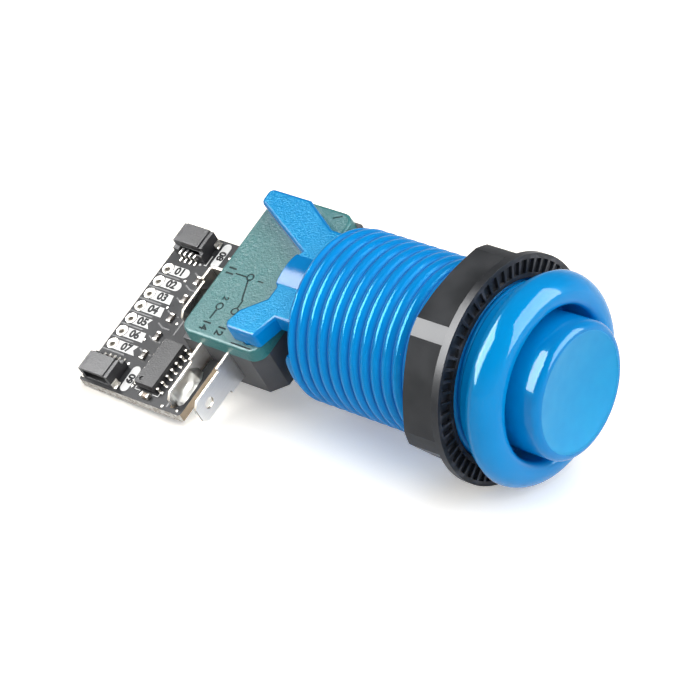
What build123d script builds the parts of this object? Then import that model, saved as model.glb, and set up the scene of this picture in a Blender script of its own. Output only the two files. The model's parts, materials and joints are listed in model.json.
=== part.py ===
"""Arcade push button with a microswitch and a small circuit board on its terminals.

Millimetres. +Z points at the player along the press axis, and the origin is the centre of the
bezel's seat on the panel. The switch's long side lies along X with its terminals towards -X,
and its green cover faces +Y.
"""
import os
from math import asin, degrees, radians, tan

from build123d import *

# Bezel, barrel and its thread
bezel_radius = 16.1
bezel_height = 4.6
bezel_round = 3.4
bezel_rim_chamfer = 0.8
lip_round = 1.1
seat_undercut_width = 0.4
seat_undercut_depth = 0.3
well_width = 0.8
well_depth = 6.1
barrel_length = 35.2
floor_thickness = 2.2
thread_crest_radius = 13.6
thread_depth = 0.65
thread_pitch = 2.0
thread_relief = 1.0
tail_start = 158.0
tail_sweep = 80.0
tail_height = 0.8

# Plunger
cap_radius = 10.4
cap_clearance = 0.4
cap_top = 8.6
cap_edge_radius = 1.2
dish_depth = 1.1
cap_thickness = 1.6
skirt_wall = 1.4
skirt_bottom = -8.0
stem_radius = 3.2
stem_clearance = 0.4
collar_radius = 6.8
collar_top = -12.5
collar_thickness = 1.5
press_travel = 2.4
hook_reach = 1.1
hook_width = 4.4
hook_height = 1.8
hook_clearance = 0.4
hook_drop_room = 0.8

# Return spring
spring_radius = 5.2
spring_wire = 0.8
spring_turns = 5
spring_seat_gap = 0.1

# Mounting nut
panel_gap = 3.3
flange_radius = 17.35
flange_thickness = 1.25
nut_height = 6.65
nut_flat_radius = 15.35
nut_corner_radius = 17.0
nut_corner_angle = 52.0
nut_chamfer = 0.7
thread_clearance = 0.2
pocket_count = 58
pocket_inner_radius = 14.5
pocket_outer_radius = 16.6
pocket_width = 1.22
pocket_depth = 0.5

# Microswitch body
switch_length = 27.8
switch_depth = 15.9
switch_thickness = 10.3
switch_standoff = 4.8
cover_thickness = 2.25
cover_draft = 4.0
cover_corner_radius = 2.2
base_corner_radius = 0.6
base_corner_chamfer = 2.2
switch_wall = 1.5
base_floor = 1.3
hole_spacing_x = 22.2
hole_spacing_z = 10.3
switch_hole_radius = 1.55
boss_radius = 2.6
terminal_gap = 0.05

# Switch button and contacts
button_length = 3.2
button_width = 3.2
button_reach = 1.6
button_foot = 0.8
button_foot_margin = 0.6
button_clearance = 0.15
button_stop_gap = 0.1
pusher_size = 2.0
dead_travel = 0.85
pusher_gap = 1.25
blade_thickness = 0.25
blade_width = 3.6
blade_pivot_x = 7.0
blade_overhang = 0.8
blade_seat_gap = 0.1
contact_x = -9.8
contact_radius = 1.2
contact_gap = 0.08
closed_contact_height = 0.8
open_contact_height = 1.2
rivet_height = 0.7

# Spade terminals
terminal_thickness = 0.5
terminal_root_width = 6.1
terminal_tab_width = 4.75
terminal_inner_width = 4.0
terminal_root_length = 3.2
terminal_tab_length = 6.74
terminal_tip_chamfer = 0.9
terminal_inner_end = -8.4
tab_hole_radius = 0.9
tab_hole_from_tip = 2.6
closed_terminal_depth = 6.65
open_terminal_depth = 12.1
common_exit_x = -1.0
common_tab_reach = 3.75
common_root_length = 2.5
common_inner_depth = 13.6
common_bend_radius = 0.6

# Switch forks on the housing
fork_gap = 0.05
fork_thickness = 2.9
hub_radius = 8.6
hub_reach = 3.1
fork_root_right = 8.7
fork_root_left = -8.4
fork_root_overlap = 0.5
hub_half_width = 3.5
hub_bulge = 0.9
arm_inset = 1.35
rear_arm_shoulder = 4.7
rear_arm_length = 6.4
front_arm_shoulder = 3.6
front_arm_rise = 2.8
front_arm_drop = 3.5
front_arm_neck_x = -5.6
front_arm_heel_x = -8.8
peg_clearance = 0.1
peg_length = 2.0
arm_tip_inset = 1.7
arm_tip_radius = 0.95

# Circuit board
board_length = 30.48
board_width = 21.1
board_thickness = 1.6
board_top = -0.35
board_reach = 15.2
board_centre_x = -9.66
board_corner_radius = 0.5
switch_gap = 0.3
slot_clearance = 0.2
pad_pitch = 2.54
pad_count = 7
pad_hole_radius = 0.5
pad_edge_distance = 1.27

# Sockets
socket_width = 6.0
socket_length = 4.25
socket_height = 2.95
socket_edge_inset = 0.5
socket_rear_inset = 1.0
socket_shoulder = 0.75
socket_shoulder_height = 1.7
socket_rail_width = 0.7
socket_rail_drop = 0.25
mouth_width = 4.6
mouth_height = 1.75
mouth_depth = 3.0
mouth_floor = 0.6
contact_count = 4
contact_pitch = 1.0
contact_width = 0.3
contact_thickness = 0.2
contact_level = 1.2
contact_tongue_length = 1.9
contact_riser = 0.35
contact_foot = 0.7
anchor_length = 1.3
anchor_height = 1.0
anchor_thickness = 0.25
anchor_foot = 0.7

# Chip and the small parts beside it
chip_length = 8.65
chip_width = 3.9
chip_height = 1.5
chip_standoff = 0.15
chip_draft = 8.0
chip_offset_x = -8.84
chip_edge_distance = 12.9
lead_pitch = 1.27
leads_per_side = 7
lead_width = 0.42
lead_thickness = 0.2
lead_span = 6.0
lead_foot = 0.6
resistor_length = 1.6
resistor_width = 0.8
resistor_height = 0.5
resistor_cap = 0.35
resistor_cap_lip = 0.04
resistor_count = 5
resistor_spacing = 3.72
resistor_first_offset = 7.06
resistor_edge_distance = 8.15
capacitor_height = 0.8
capacitor_side_distance = 1.05
capacitor_edge_distance = 13.5

# Solder
solder_reach = 1.25
solder_height = 2.45
solder_sag = 0.4

# Sizes worked out from the ones above
thread_root_radius = thread_crest_radius - thread_depth
tail_radius = thread_root_radius - thread_depth
bore_radius = cap_radius + cap_clearance
well_radius = bore_radius + well_width
crown_radius = bezel_radius - bezel_round
seat_radius = thread_crest_radius + seat_undercut_width
floor_top = floor_thickness - barrel_length
stem_hole_radius = stem_radius + stem_clearance
hook_radius = cap_radius + hook_reach
hook_top = skirt_bottom + hook_height
nut_front = -panel_gap
flange_back = nut_front - flange_thickness
nut_back = flange_back - nut_height
switch_top = switch_thickness / 2
switch_front = -barrel_length - switch_standoff
switch_rear = switch_front - switch_depth
switch_end = switch_length / 2
switch_centre_z = switch_front - switch_depth / 2
cover_seat = switch_top - cover_thickness
switch_holes = [
    (hole_spacing_x / 2, switch_centre_z - hole_spacing_z / 2),
    (-hole_spacing_x / 2, switch_centre_z + hole_spacing_z / 2),
]
closed_terminal_z = switch_front - closed_terminal_depth
open_terminal_z = switch_front - open_terminal_depth
common_inner_z = switch_front - common_inner_depth
common_tab_z = switch_rear - common_tab_reach
hub_rear = switch_front - hub_reach
button_top = switch_front + button_reach
closed_contact_face = closed_terminal_z - terminal_thickness / 2 - closed_contact_height
blade_z = closed_contact_face - contact_gap - rivet_height - blade_thickness / 2
tab_tip_x = -switch_end - terminal_root_length - terminal_tab_length
board_rear = switch_rear - board_reach
board_front = board_rear + board_width
board_left = board_centre_x - board_length / 2
board_right = board_centre_x + board_length / 2
pad_row_z = board_rear + pad_edge_distance
socket_z = board_rear + socket_rear_inset + socket_width / 2
chip_x = board_centre_x + chip_offset_x
chip_z = board_rear + chip_edge_distance
resistor_first_x = board_centre_x + resistor_first_offset
resistor_z = board_rear + resistor_edge_distance
capacitor_x = board_left + capacitor_side_distance
capacitor_z = board_rear + capacitor_edge_distance


def level(y):
    """Plane at height y whose sketch axes are X and Z, extruding towards -Y."""
    return Plane(origin=(0, y, 0), x_dir=(1, 0, 0), z_dir=(0, -1, 0))


# Housing: the forks that hold the switch from both sides
fork_bottom = switch_top + fork_gap
fork_top = fork_bottom + fork_thickness
rear_hole, front_hole = switch_holes
arm_right = rear_hole[0] + arm_inset
arm_left = front_hole[0] - arm_inset
fork_root = fork_root_overlap - barrel_length


def switch_fork(front_arm):
    """Fork on the cover's side of the switch: a rear arm with its peg, and a front one if asked."""
    hub_right = (hub_half_width, hub_rear + hub_bulge)
    hub_left = (-hub_half_width, hub_rear + hub_bulge)
    front_points = [
        (front_arm_neck_x, hub_rear + hub_bulge),
        (front_arm_heel_x, front_hole[1] - front_arm_drop + hub_bulge),
        (front_hole[0], front_hole[1] - front_arm_drop),
        (arm_left, front_hole[1] - front_arm_drop + hub_bulge),
        (arm_left, front_hole[1] + front_arm_rise),
    ]
    with BuildPart() as fork:
        with BuildSketch(level(hub_radius)):
            with BuildLine():
                Polyline(
                    hub_left,
                    *(front_points if front_arm else []),
                    (fork_root_left, -barrel_length - front_arm_shoulder),
                    (fork_root_left, fork_root),
                    (fork_root_right, fork_root),
                    (fork_root_right, -barrel_length - rear_arm_shoulder),
                    (arm_right, rear_hole[1] + rear_arm_length),
                    (arm_right, rear_hole[1] - arm_tip_inset),
                    (rear_hole[0] - arm_inset, rear_hole[1] - arm_tip_inset),
                    hub_right,
                )
                ThreePointArc(hub_right, (0, hub_rear), hub_left)
            make_face()
            tips = vertices().group_by(Axis.Y)[0]
            if front_arm:
                tips = tips + vertices().group_by(Axis.X)[0]
            fillet(tips, arm_tip_radius)
        extrude(amount=hub_radius - fork_bottom)
        with BuildSketch(Plane.XY.offset(fork_root)):
            with Locations((0, fork_top)):
                Rectangle(switch_length, hub_radius, align=(Align.CENTER, Align.MIN))
            Circle(hub_radius, mode=Mode.SUBTRACT)
        extrude(amount=switch_rear - fork_root, mode=Mode.SUBTRACT)
        with BuildSketch(level(fork_bottom)):
            with Locations(*([rear_hole, front_hole] if front_arm else [rear_hole])):
                Circle(switch_hole_radius - peg_clearance)
        extrude(amount=peg_length)
    return fork.part


# Housing: bezel and ridged barrel turned in one section, grooved for the plunger's hooks, with the
# thread's tail at its rear end
ridge_count = int((barrel_length - thread_relief) / thread_pitch)
ridge_line = []
for ridge in range(ridge_count):
    ridge_start = -thread_relief - ridge * thread_pitch
    ridge_line.append((thread_root_radius, ridge_start))
    ridge_line.append((thread_crest_radius, ridge_start - thread_pitch / 2))
ridge_end = -thread_relief - ridge_count * thread_pitch

with BuildPart() as housing:
    with BuildSketch(Plane.XZ):
        with BuildLine():
            crown = CenterArc((crown_radius, bezel_height - bezel_round), bezel_round, 0, 90)
            lip = CenterArc((crown_radius, bezel_height - lip_round), lip_round, 90, 90)
            Polyline(
                crown @ 0,
                (bezel_radius - bezel_rim_chamfer, 0),
                (seat_radius, 0),
                (seat_radius, seat_undercut_depth),
                (thread_root_radius, seat_undercut_depth),
                *ridge_line,
                (thread_root_radius, ridge_end),
                (thread_root_radius, -barrel_length),
                (stem_hole_radius, -barrel_length),
                (stem_hole_radius, floor_top),
                (bore_radius, floor_top),
                (bore_radius, bezel_height - well_depth),
                (well_radius, bezel_height - well_depth),
                lip @ 1,
            )
        make_face()
    revolve(axis=Axis.Z)
    with BuildSketch(Plane.XY.offset(hook_top + hook_clearance / 2)):
        Rectangle(2 * (hook_radius + hook_clearance), hook_width + 2 * hook_clearance)
        Circle(bore_radius - hook_clearance, mode=Mode.SUBTRACT)
    extrude(amount=-(hook_height + press_travel + hook_drop_room), mode=Mode.SUBTRACT)
    with BuildSketch(Plane.XY.offset(-barrel_length)):
        with BuildLine():
            tail_inner = CenterArc((0, 0), tail_radius, tail_start, tail_sweep)
            tail_outer = CenterArc((0, 0), thread_crest_radius, tail_start, tail_sweep)
            Line(tail_inner @ 0, tail_outer @ 0)
            Line(tail_inner @ 1, tail_outer @ 1)
        make_face()
    extrude(amount=-tail_height)
    add(switch_fork(front_arm=True))
    mirror(switch_fork(front_arm=False), about=Plane.XZ)
housing.part.label = "housing"

# Plunger: dished cap, skirt with two hooks, and a stem with the spring's collar
rim_radius = cap_radius - cap_edge_radius
dish_radius = (rim_radius**2 + dish_depth**2) / (2 * dish_depth)
cap_ceiling = cap_top - dish_depth - cap_thickness
collar_bottom = collar_top - collar_thickness
stem_end = button_top + dead_travel

with BuildPart() as plunger:
    with BuildSketch(Plane.XZ):
        with BuildLine():
            dish = CenterArc(
                (0, cap_top - dish_depth + dish_radius),
                dish_radius,
                start_angle=270,
                arc_size=degrees(asin(rim_radius / dish_radius)),
            )
            edge = CenterArc((rim_radius, cap_top - cap_edge_radius), cap_edge_radius, 0, 90)
            Polyline(
                edge @ 0,
                (cap_radius, skirt_bottom),
                (cap_radius - skirt_wall, skirt_bottom),
                (cap_radius - skirt_wall, cap_ceiling),
                (stem_radius, cap_ceiling),
                (stem_radius, collar_top),
                (collar_radius, collar_top),
                (collar_radius, collar_bottom),
                (stem_radius, collar_bottom),
                (stem_radius, stem_end),
                (0, stem_end),
                dish @ 0,
            )
        make_face()
    revolve(axis=Axis.Z)
    with BuildSketch(Plane.XY.offset(hook_top)):
        Rectangle(2 * hook_radius, hook_width)
        Circle(cap_radius - skirt_wall / 2, mode=Mode.SUBTRACT)
    extrude(amount=-hook_height)
plunger.part.label = "plunger"

# Return spring between the barrel's floor and the collar
spring_bottom = floor_top + spring_seat_gap
spring_height = collar_bottom - spring_bottom - spring_seat_gap - spring_wire

with BuildPart() as return_spring:
    with BuildLine() as coil:
        Helix(
            pitch=spring_height / spring_turns,
            height=spring_height,
            radius=spring_radius,
            center=(0, 0, spring_bottom + spring_wire / 2),
        )
    with BuildSketch(Plane(origin=coil.line @ 0, z_dir=coil.line % 0)):
        Rectangle(spring_wire, spring_wire)
    sweep(path=coil.line, is_frenet=True)
return_spring.part.label = "return_spring"

# Mounting nut: trimmed hexagon and round flange with a ring of pockets, clear of the ridges
with BuildPart() as mounting_nut:
    with BuildSketch(Plane.XY.offset(flange_back)):
        RegularPolygon(nut_flat_radius, 6, major_radius=False, rotation=nut_corner_angle)
        Circle(nut_corner_radius, mode=Mode.INTERSECT)
    extrude(amount=-nut_height)
    with BuildSketch(Plane.XZ):
        with BuildLine():
            Polyline(
                (nut_flat_radius, nut_back),
                (nut_corner_radius, nut_back + nut_chamfer),
                (nut_corner_radius, nut_back),
                close=True,
            )
        make_face()
    revolve(axis=Axis.Z, mode=Mode.SUBTRACT)
    with BuildSketch(Plane.XY.offset(nut_front)):
        Circle(flange_radius)
    extrude(amount=-flange_thickness)
    with BuildSketch(Plane.XY.offset(nut_front)):
        Circle(thread_crest_radius + thread_clearance)
    extrude(amount=nut_back - nut_front, mode=Mode.SUBTRACT)
    with BuildSketch(Plane.XY.offset(nut_front)):
        with PolarLocations((pocket_inner_radius + pocket_outer_radius) / 2, pocket_count):
            Rectangle(pocket_outer_radius - pocket_inner_radius, pocket_width)
    extrude(amount=-pocket_depth, mode=Mode.SUBTRACT)
mounting_nut.part.label = "mounting_nut"

# Switch base: tray with bosses round the mounting holes and slots for the terminals
slot_width = terminal_thickness + 2 * terminal_gap
slot_bottom = -terminal_root_width / 2 - terminal_gap
button_hole_length = button_length + 2 * button_clearance
button_hole_width = button_width + 2 * button_clearance

with BuildPart() as switch_base:
    with BuildSketch(level(cover_seat)):
        with Locations((0, switch_centre_z)):
            Rectangle(switch_length, switch_depth)
        front_left = vertices().group_by(Axis.X)[0].sort_by(Axis.Y)[-1]
        chamfer(front_left, base_corner_chamfer)
    extrude(amount=cover_seat + switch_top)
    with BuildSketch(level(cover_seat)):
        with Locations((0, switch_centre_z)):
            Rectangle(switch_length - 2 * switch_wall, switch_depth - 2 * switch_wall)
        with Locations(rear_hole, front_hole):
            Circle(boss_radius, mode=Mode.SUBTRACT)
    extrude(amount=cover_seat + switch_top - base_floor, mode=Mode.SUBTRACT)
    with BuildSketch(level(cover_seat)):
        with Locations(rear_hole, front_hole):
            Circle(switch_hole_radius)
    extrude(amount=cover_seat + switch_top, mode=Mode.SUBTRACT)
    with BuildSketch(level(cover_seat)):
        with Locations((-switch_end, closed_terminal_z), (-switch_end, open_terminal_z)):
            Rectangle(2 * switch_wall, slot_width)
        with Locations((common_exit_x, switch_rear)):
            Rectangle(slot_width, 2 * switch_wall)
    extrude(amount=cover_seat - slot_bottom, mode=Mode.SUBTRACT)
    with BuildSketch(Plane.XY.offset(switch_front)):
        Rectangle(button_hole_length, button_hole_width)
    extrude(amount=-switch_wall, mode=Mode.SUBTRACT)
switch_base.part.label = "switch_base"

# Switch cover: drafted lid, notched over the terminals' upper edges
cover_inset = cover_thickness * tan(radians(cover_draft))

with BuildPart() as switch_cover:
    with BuildSketch(level(switch_top)):
        with Locations((0, switch_centre_z)):
            RectangleRounded(
                switch_length - 2 * cover_inset,
                switch_depth - 2 * cover_inset,
                cover_corner_radius,
            )
    extrude(amount=cover_thickness, taper=-cover_draft)
    with BuildSketch(level(switch_top)):
        with Locations(rear_hole, front_hole):
            Circle(switch_hole_radius)
    extrude(amount=cover_thickness, mode=Mode.SUBTRACT)
    with BuildSketch(level(terminal_root_width / 2 + terminal_gap)):
        with Locations((-switch_end, closed_terminal_z), (-switch_end, open_terminal_z)):
            Rectangle(2 * switch_wall, slot_width)
        with Locations((common_exit_x, switch_rear)):
            Rectangle(slot_width, 2 * switch_wall)
    extrude(amount=terminal_root_width / 2 + terminal_gap - cover_seat, mode=Mode.SUBTRACT)
switch_cover.part.label = "switch_cover"

# Switch button: head through the front wall, foot that stops it, and a pusher over the blade
wall_inside = switch_front - switch_wall
foot_top = wall_inside - button_stop_gap
pusher_end = blade_z + blade_thickness / 2 + pusher_gap

with BuildPart() as switch_button:
    with BuildSketch(Plane.XY.offset(button_top)):
        Rectangle(button_length, button_width)
    extrude(amount=foot_top - button_top)
    with BuildSketch(Plane.XY.offset(foot_top)):
        Rectangle(button_length + 2 * button_foot_margin, button_width + 2 * button_foot_margin)
    extrude(amount=-button_foot)
    with BuildSketch(Plane.XY.offset(foot_top - button_foot)):
        Rectangle(pusher_size, pusher_size)
    extrude(amount=pusher_end - foot_top + button_foot)
    chamfer(switch_button.faces().sort_by(Axis.Z)[-1].edges(), button_reach / 4)
switch_button.part.label = "switch_button"

# Snap blade with its rivet, and the two fixed contacts
with BuildPart() as snap_blade:
    with BuildSketch(Plane.XY.offset(blade_z - blade_thickness / 2)):
        with Locations((blade_pivot_x + blade_overhang, 0)):
            Rectangle(
                blade_pivot_x - contact_x + 2 * blade_overhang + contact_radius,
                blade_width,
                align=(Align.MAX, Align.CENTER),
            )
        with Locations((contact_x, 0)):
            Circle(contact_radius / 2, mode=Mode.SUBTRACT)
    extrude(amount=blade_thickness)
snap_blade.part.label = "snap_blade"

with BuildPart() as moving_contact:
    with BuildSketch(Plane.XY.offset(blade_z)):
        with Locations((contact_x, 0)):
            Circle(contact_radius / 2)
    extrude(amount=blade_thickness / 2, both=True)
    for face_z, height in ((blade_thickness / 2, rivet_height), (-blade_thickness / 2, -rivet_height)):
        with BuildSketch(Plane.XY.offset(blade_z + face_z)):
            with Locations((contact_x, 0)):
                Circle(contact_radius)
        extrude(amount=height)
moving_contact.part.label = "moving_contact"

with BuildPart() as closed_contact:
    with BuildSketch(Plane.XY.offset(closed_terminal_z - terminal_thickness / 2)):
        with Locations((contact_x, 0)):
            Circle(contact_radius)
    extrude(amount=-closed_contact_height)
closed_contact.part.label = "closed_contact"

with BuildPart() as open_contact:
    with BuildSketch(Plane.XY.offset(open_terminal_z + terminal_thickness / 2)):
        with Locations((contact_x, 0)):
            Circle(contact_radius)
    extrude(amount=open_contact_height)
open_contact.part.label = "open_contact"


def spade_terminal(z):
    """Straight spade terminal through the switch's end wall at height z."""
    with BuildPart() as terminal:
        with BuildSketch(Plane.XY.offset(z - terminal_thickness / 2)):
            with Locations((tab_tip_x, 0)):
                Rectangle(terminal_tab_length, terminal_tab_width, align=(Align.MIN, Align.CENTER))
            tips = vertices().group_by(Axis.X)[0]
            chamfer(tips, terminal_tip_chamfer)
            with Locations((-switch_end - terminal_root_length, 0)):
                Rectangle(
                    terminal_root_length + switch_wall,
                    terminal_root_width,
                    align=(Align.MIN, Align.CENTER),
                )
            with Locations((terminal_inner_end, 0)):
                Rectangle(
                    terminal_inner_end + switch_end,
                    terminal_inner_width,
                    align=(Align.MAX, Align.CENTER),
                )
            with Locations((tab_tip_x + tab_hole_from_tip, 0)):
                Circle(tab_hole_radius, mode=Mode.SUBTRACT)
        extrude(amount=terminal_thickness)
    return terminal.part


normally_closed_terminal = spade_terminal(closed_terminal_z)
normally_closed_terminal.label = "normally_closed_terminal"
normally_open_terminal = spade_terminal(open_terminal_z)
normally_open_terminal.label = "normally_open_terminal"

# Common terminal: folded strip that carries the blade inside and turns along the rear face outside
common_root_x = common_exit_x - common_root_length
common_tip_x = common_root_x - terminal_tab_length
blade_seat = blade_z - blade_thickness / 2 - blade_seat_gap

with BuildPart() as common_terminal:
    with BuildSketch(level(0)):
        with BuildLine():
            FilletPolyline(
                (common_exit_x, switch_rear + switch_wall),
                (common_exit_x, common_tab_z),
                (common_root_x, common_tab_z),
                radius=common_bend_radius,
            )
        trace(line_width=terminal_thickness)
    extrude(amount=terminal_root_width / 2, both=True)
    with BuildSketch(level(0)):
        with BuildLine():
            FilletPolyline(
                (common_exit_x, switch_rear + switch_wall),
                (common_exit_x, common_inner_z),
                (blade_pivot_x, common_inner_z),
                (blade_pivot_x, blade_seat),
                radius=common_bend_radius,
            )
        trace(line_width=terminal_thickness)
    extrude(amount=terminal_inner_width / 2, both=True)
    with BuildSketch(Plane.XY.offset(common_tab_z - terminal_thickness / 2)):
        with Locations((common_tip_x, 0)):
            Rectangle(terminal_tab_length, terminal_tab_width, align=(Align.MIN, Align.CENTER))
        common_tips = vertices().group_by(Axis.X)[0]
        chamfer(common_tips, terminal_tip_chamfer)
    extrude(amount=terminal_thickness)
common_terminal.part.label = "common_terminal"

# Circuit board: notched round the switch and slotted for the two soldered terminals
notch_left = -switch_end - switch_gap
notch_rear = switch_rear - switch_gap
board_slot = terminal_thickness + 2 * slot_clearance

with BuildPart() as circuit_board:
    with BuildSketch(level(board_top)):
        with Locations((board_centre_x, (board_rear + board_front) / 2)):
            RectangleRounded(board_length, board_width, board_corner_radius)
        with Locations((notch_left, notch_rear)):
            Rectangle(
                board_right - notch_left,
                board_front - notch_rear,
                align=(Align.MIN, Align.MIN),
                mode=Mode.SUBTRACT,
            )
        with Locations((tab_tip_x - slot_clearance, open_terminal_z)):
            Rectangle(
                notch_left - tab_tip_x + slot_clearance,
                board_slot,
                align=(Align.MIN, Align.CENTER),
                mode=Mode.SUBTRACT,
            )
        with Locations((common_tip_x - slot_clearance, common_tab_z)):
            Rectangle(
                common_exit_x + board_slot / 2 - common_tip_x + slot_clearance,
                board_slot,
                align=(Align.MIN, Align.CENTER),
                mode=Mode.SUBTRACT,
            )
        with Locations((common_exit_x, notch_rear)):
            Rectangle(
                board_slot,
                notch_rear - common_tab_z,
                align=(Align.CENTER, Align.MAX),
                mode=Mode.SUBTRACT,
            )
        with Locations((board_centre_x, pad_row_z)):
            with GridLocations(pad_pitch, 1, pad_count, 1):
                Circle(pad_hole_radius, mode=Mode.SUBTRACT)
    extrude(amount=board_thickness)
circuit_board.part.label = "circuit_board"


def socket_shell(mouth_x, way):
    """Side-entry socket whose mouth faces way along X at mouth_x."""
    back_x = mouth_x - way * socket_length
    inward = Align.MAX if way > 0 else Align.MIN
    outward = Align.MIN if way > 0 else Align.MAX
    with BuildPart() as shell:
        with BuildSketch(level(board_top)):
            with Locations((mouth_x, socket_z)):
                Rectangle(socket_length, socket_width, align=(inward, Align.CENTER))
        extrude(amount=-socket_height)
        with BuildSketch(level(board_top + socket_height)):
            with Locations((back_x, socket_z)):
                Rectangle(socket_shoulder, socket_width, align=(outward, Align.CENTER))
        extrude(amount=socket_height - socket_shoulder_height, mode=Mode.SUBTRACT)
        with BuildSketch(level(board_top + socket_height)):
            with Locations((mouth_x, socket_z)):
                Rectangle(socket_length, socket_width, align=(inward, Align.CENTER))
                Rectangle(
                    socket_length,
                    socket_width - 2 * socket_rail_width,
                    align=(inward, Align.CENTER),
                    mode=Mode.SUBTRACT,
                )
        extrude(amount=socket_rail_drop, mode=Mode.SUBTRACT)
        with BuildSketch(level(board_top + mouth_floor + mouth_height)):
            with Locations((mouth_x, socket_z)):
                Rectangle(mouth_depth, mouth_width, align=(inward, Align.CENTER))
        extrude(amount=mouth_height, mode=Mode.SUBTRACT)
        with BuildSketch(level(board_top + contact_level + contact_thickness / 2)):
            with Locations((back_x, socket_z)):
                with GridLocations(1, contact_pitch, 1, contact_count):
                    Rectangle(
                        socket_length - mouth_depth,
                        contact_width,
                        align=(outward, Align.CENTER),
                    )
        extrude(amount=contact_thickness, mode=Mode.SUBTRACT)
    return shell.part


def socket_contacts(mouth_x, way):
    """Contacts of one socket: a tongue in the mouth, a riser behind it and a foot on the board."""
    back_x = mouth_x - way * socket_length
    riser_x = back_x - way * contact_riser
    contact_planes = [
        Plane.XY.offset(socket_z + contact_pitch * (index - (contact_count - 1) / 2))
        for index in range(contact_count)
    ]
    with BuildPart() as contacts:
        with BuildSketch(*contact_planes):
            with BuildLine():
                Polyline(
                    (mouth_x - way * (mouth_depth - contact_tongue_length), board_top + contact_level),
                    (riser_x, board_top + contact_level),
                    (riser_x, board_top + contact_thickness / 2),
                    (riser_x - way * contact_foot, board_top + contact_thickness / 2),
                )
            trace(line_width=contact_thickness)
        extrude(amount=contact_width / 2, both=True)
    return contacts.part


upper_mouth_x = board_right - socket_edge_inset
lower_mouth_x = board_left + socket_edge_inset
socket_shell_upper = socket_shell(upper_mouth_x, 1)
socket_shell_upper.label = "socket_shell_upper"
socket_shell_lower = socket_shell(lower_mouth_x, -1)
socket_shell_lower.label = "socket_shell_lower"
socket_contacts_upper = socket_contacts(upper_mouth_x, 1)
socket_contacts_upper.label = "socket_contacts_upper"
socket_contacts_lower = socket_contacts(lower_mouth_x, -1)
socket_contacts_lower.label = "socket_contacts_lower"


# Solder anchors on both sides of each socket's mouth
with BuildPart() as socket_anchors:
    for mouth_x, way in ((upper_mouth_x, 1), (lower_mouth_x, -1)):
        for side in (1, -1):
            anchor_x = mouth_x - way * anchor_length / 2
            shell_side = socket_z + side * socket_width / 2
            plate_side = shell_side + side * anchor_thickness / 2
            foot_side = shell_side + side * anchor_foot / 2
            with BuildSketch(level(board_top)):
                with Locations((anchor_x, foot_side)):
                    Rectangle(anchor_length, anchor_foot)
            extrude(amount=-anchor_thickness)
            with BuildSketch(level(board_top)):
                with Locations((anchor_x, plate_side)):
                    Rectangle(anchor_length, anchor_thickness)
            extrude(amount=-anchor_height)
socket_anchors.part.label = "socket_anchors"

# Chip: a straight band at the leads, drafted above and below it
chip_bottom = board_top + chip_standoff
lead_level = chip_bottom + chip_height / 2
half_chip = (chip_height - lead_thickness) / 2
chip_inset = half_chip * tan(radians(chip_draft))

with BuildPart() as controller_body:
    with BuildSketch(level(lead_level)):
        with Locations((chip_x, chip_z)):
            Rectangle(chip_length, chip_width)
    extrude(amount=lead_thickness / 2, both=True)
    with BuildSketch(level(chip_bottom + chip_height)):
        with Locations((chip_x, chip_z)):
            Rectangle(chip_length - 2 * chip_inset, chip_width - 2 * chip_inset)
    extrude(amount=half_chip, taper=-chip_draft)
    with BuildSketch(level(lead_level - lead_thickness / 2)):
        with Locations((chip_x, chip_z)):
            Rectangle(chip_length, chip_width)
    extrude(amount=half_chip, taper=chip_draft)
controller_body.part.label = "controller_body"

lead_planes = [
    Plane.YZ.offset(chip_x + lead_pitch * (index - (leads_per_side - 1) / 2))
    for index in range(leads_per_side)
]
foot_level = board_top + lead_thickness / 2

with BuildPart() as controller_leads:
    with BuildSketch(*lead_planes):
        with BuildLine():
            for side in (1, -1):
                Polyline(
                    (lead_level, chip_z + side * chip_width / 2),
                    (lead_level, chip_z + side * (lead_span / 2 - lead_foot)),
                    (foot_level, chip_z + side * (lead_span / 2 - lead_foot)),
                    (foot_level, chip_z + side * lead_span / 2),
                )
        trace(line_width=lead_thickness)
    extrude(amount=lead_width / 2, both=True)
controller_leads.part.label = "controller_leads"

# Chip resistors in a row and one chip capacitor turned across it
resistor_places = [
    (resistor_first_x - index * resistor_spacing, resistor_z) for index in range(resistor_count)
]
body_length = resistor_length - 2 * resistor_cap
cap_offset = (resistor_length - resistor_cap) / 2

with BuildPart() as resistor_bodies:
    with BuildSketch(level(board_top)):
        with Locations(*resistor_places):
            Rectangle(body_length, resistor_width - 2 * resistor_cap_lip)
    extrude(amount=-(resistor_height - resistor_cap_lip))
resistor_bodies.part.label = "resistor_bodies"

with BuildPart() as resistor_caps:
    with BuildSketch(level(board_top)):
        with Locations(*resistor_places):
            with GridLocations(2 * cap_offset, 1, 2, 1):
                Rectangle(resistor_cap, resistor_width)
    extrude(amount=-resistor_height)
resistor_caps.part.label = "resistor_caps"

with BuildPart() as capacitor_body:
    with BuildSketch(level(board_top)):
        with Locations((capacitor_x, capacitor_z)):
            Rectangle(resistor_width - 2 * resistor_cap_lip, body_length)
    extrude(amount=-(capacitor_height - resistor_cap_lip))
capacitor_body.part.label = "capacitor_body"

with BuildPart() as capacitor_caps:
    with BuildSketch(level(board_top)):
        with Locations((capacitor_x, capacitor_z)):
            with GridLocations(1, 2 * cap_offset, 1, 2):
                Rectangle(resistor_width, resistor_cap)
    extrude(amount=-capacitor_height)
capacitor_caps.part.label = "capacitor_caps"

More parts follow.
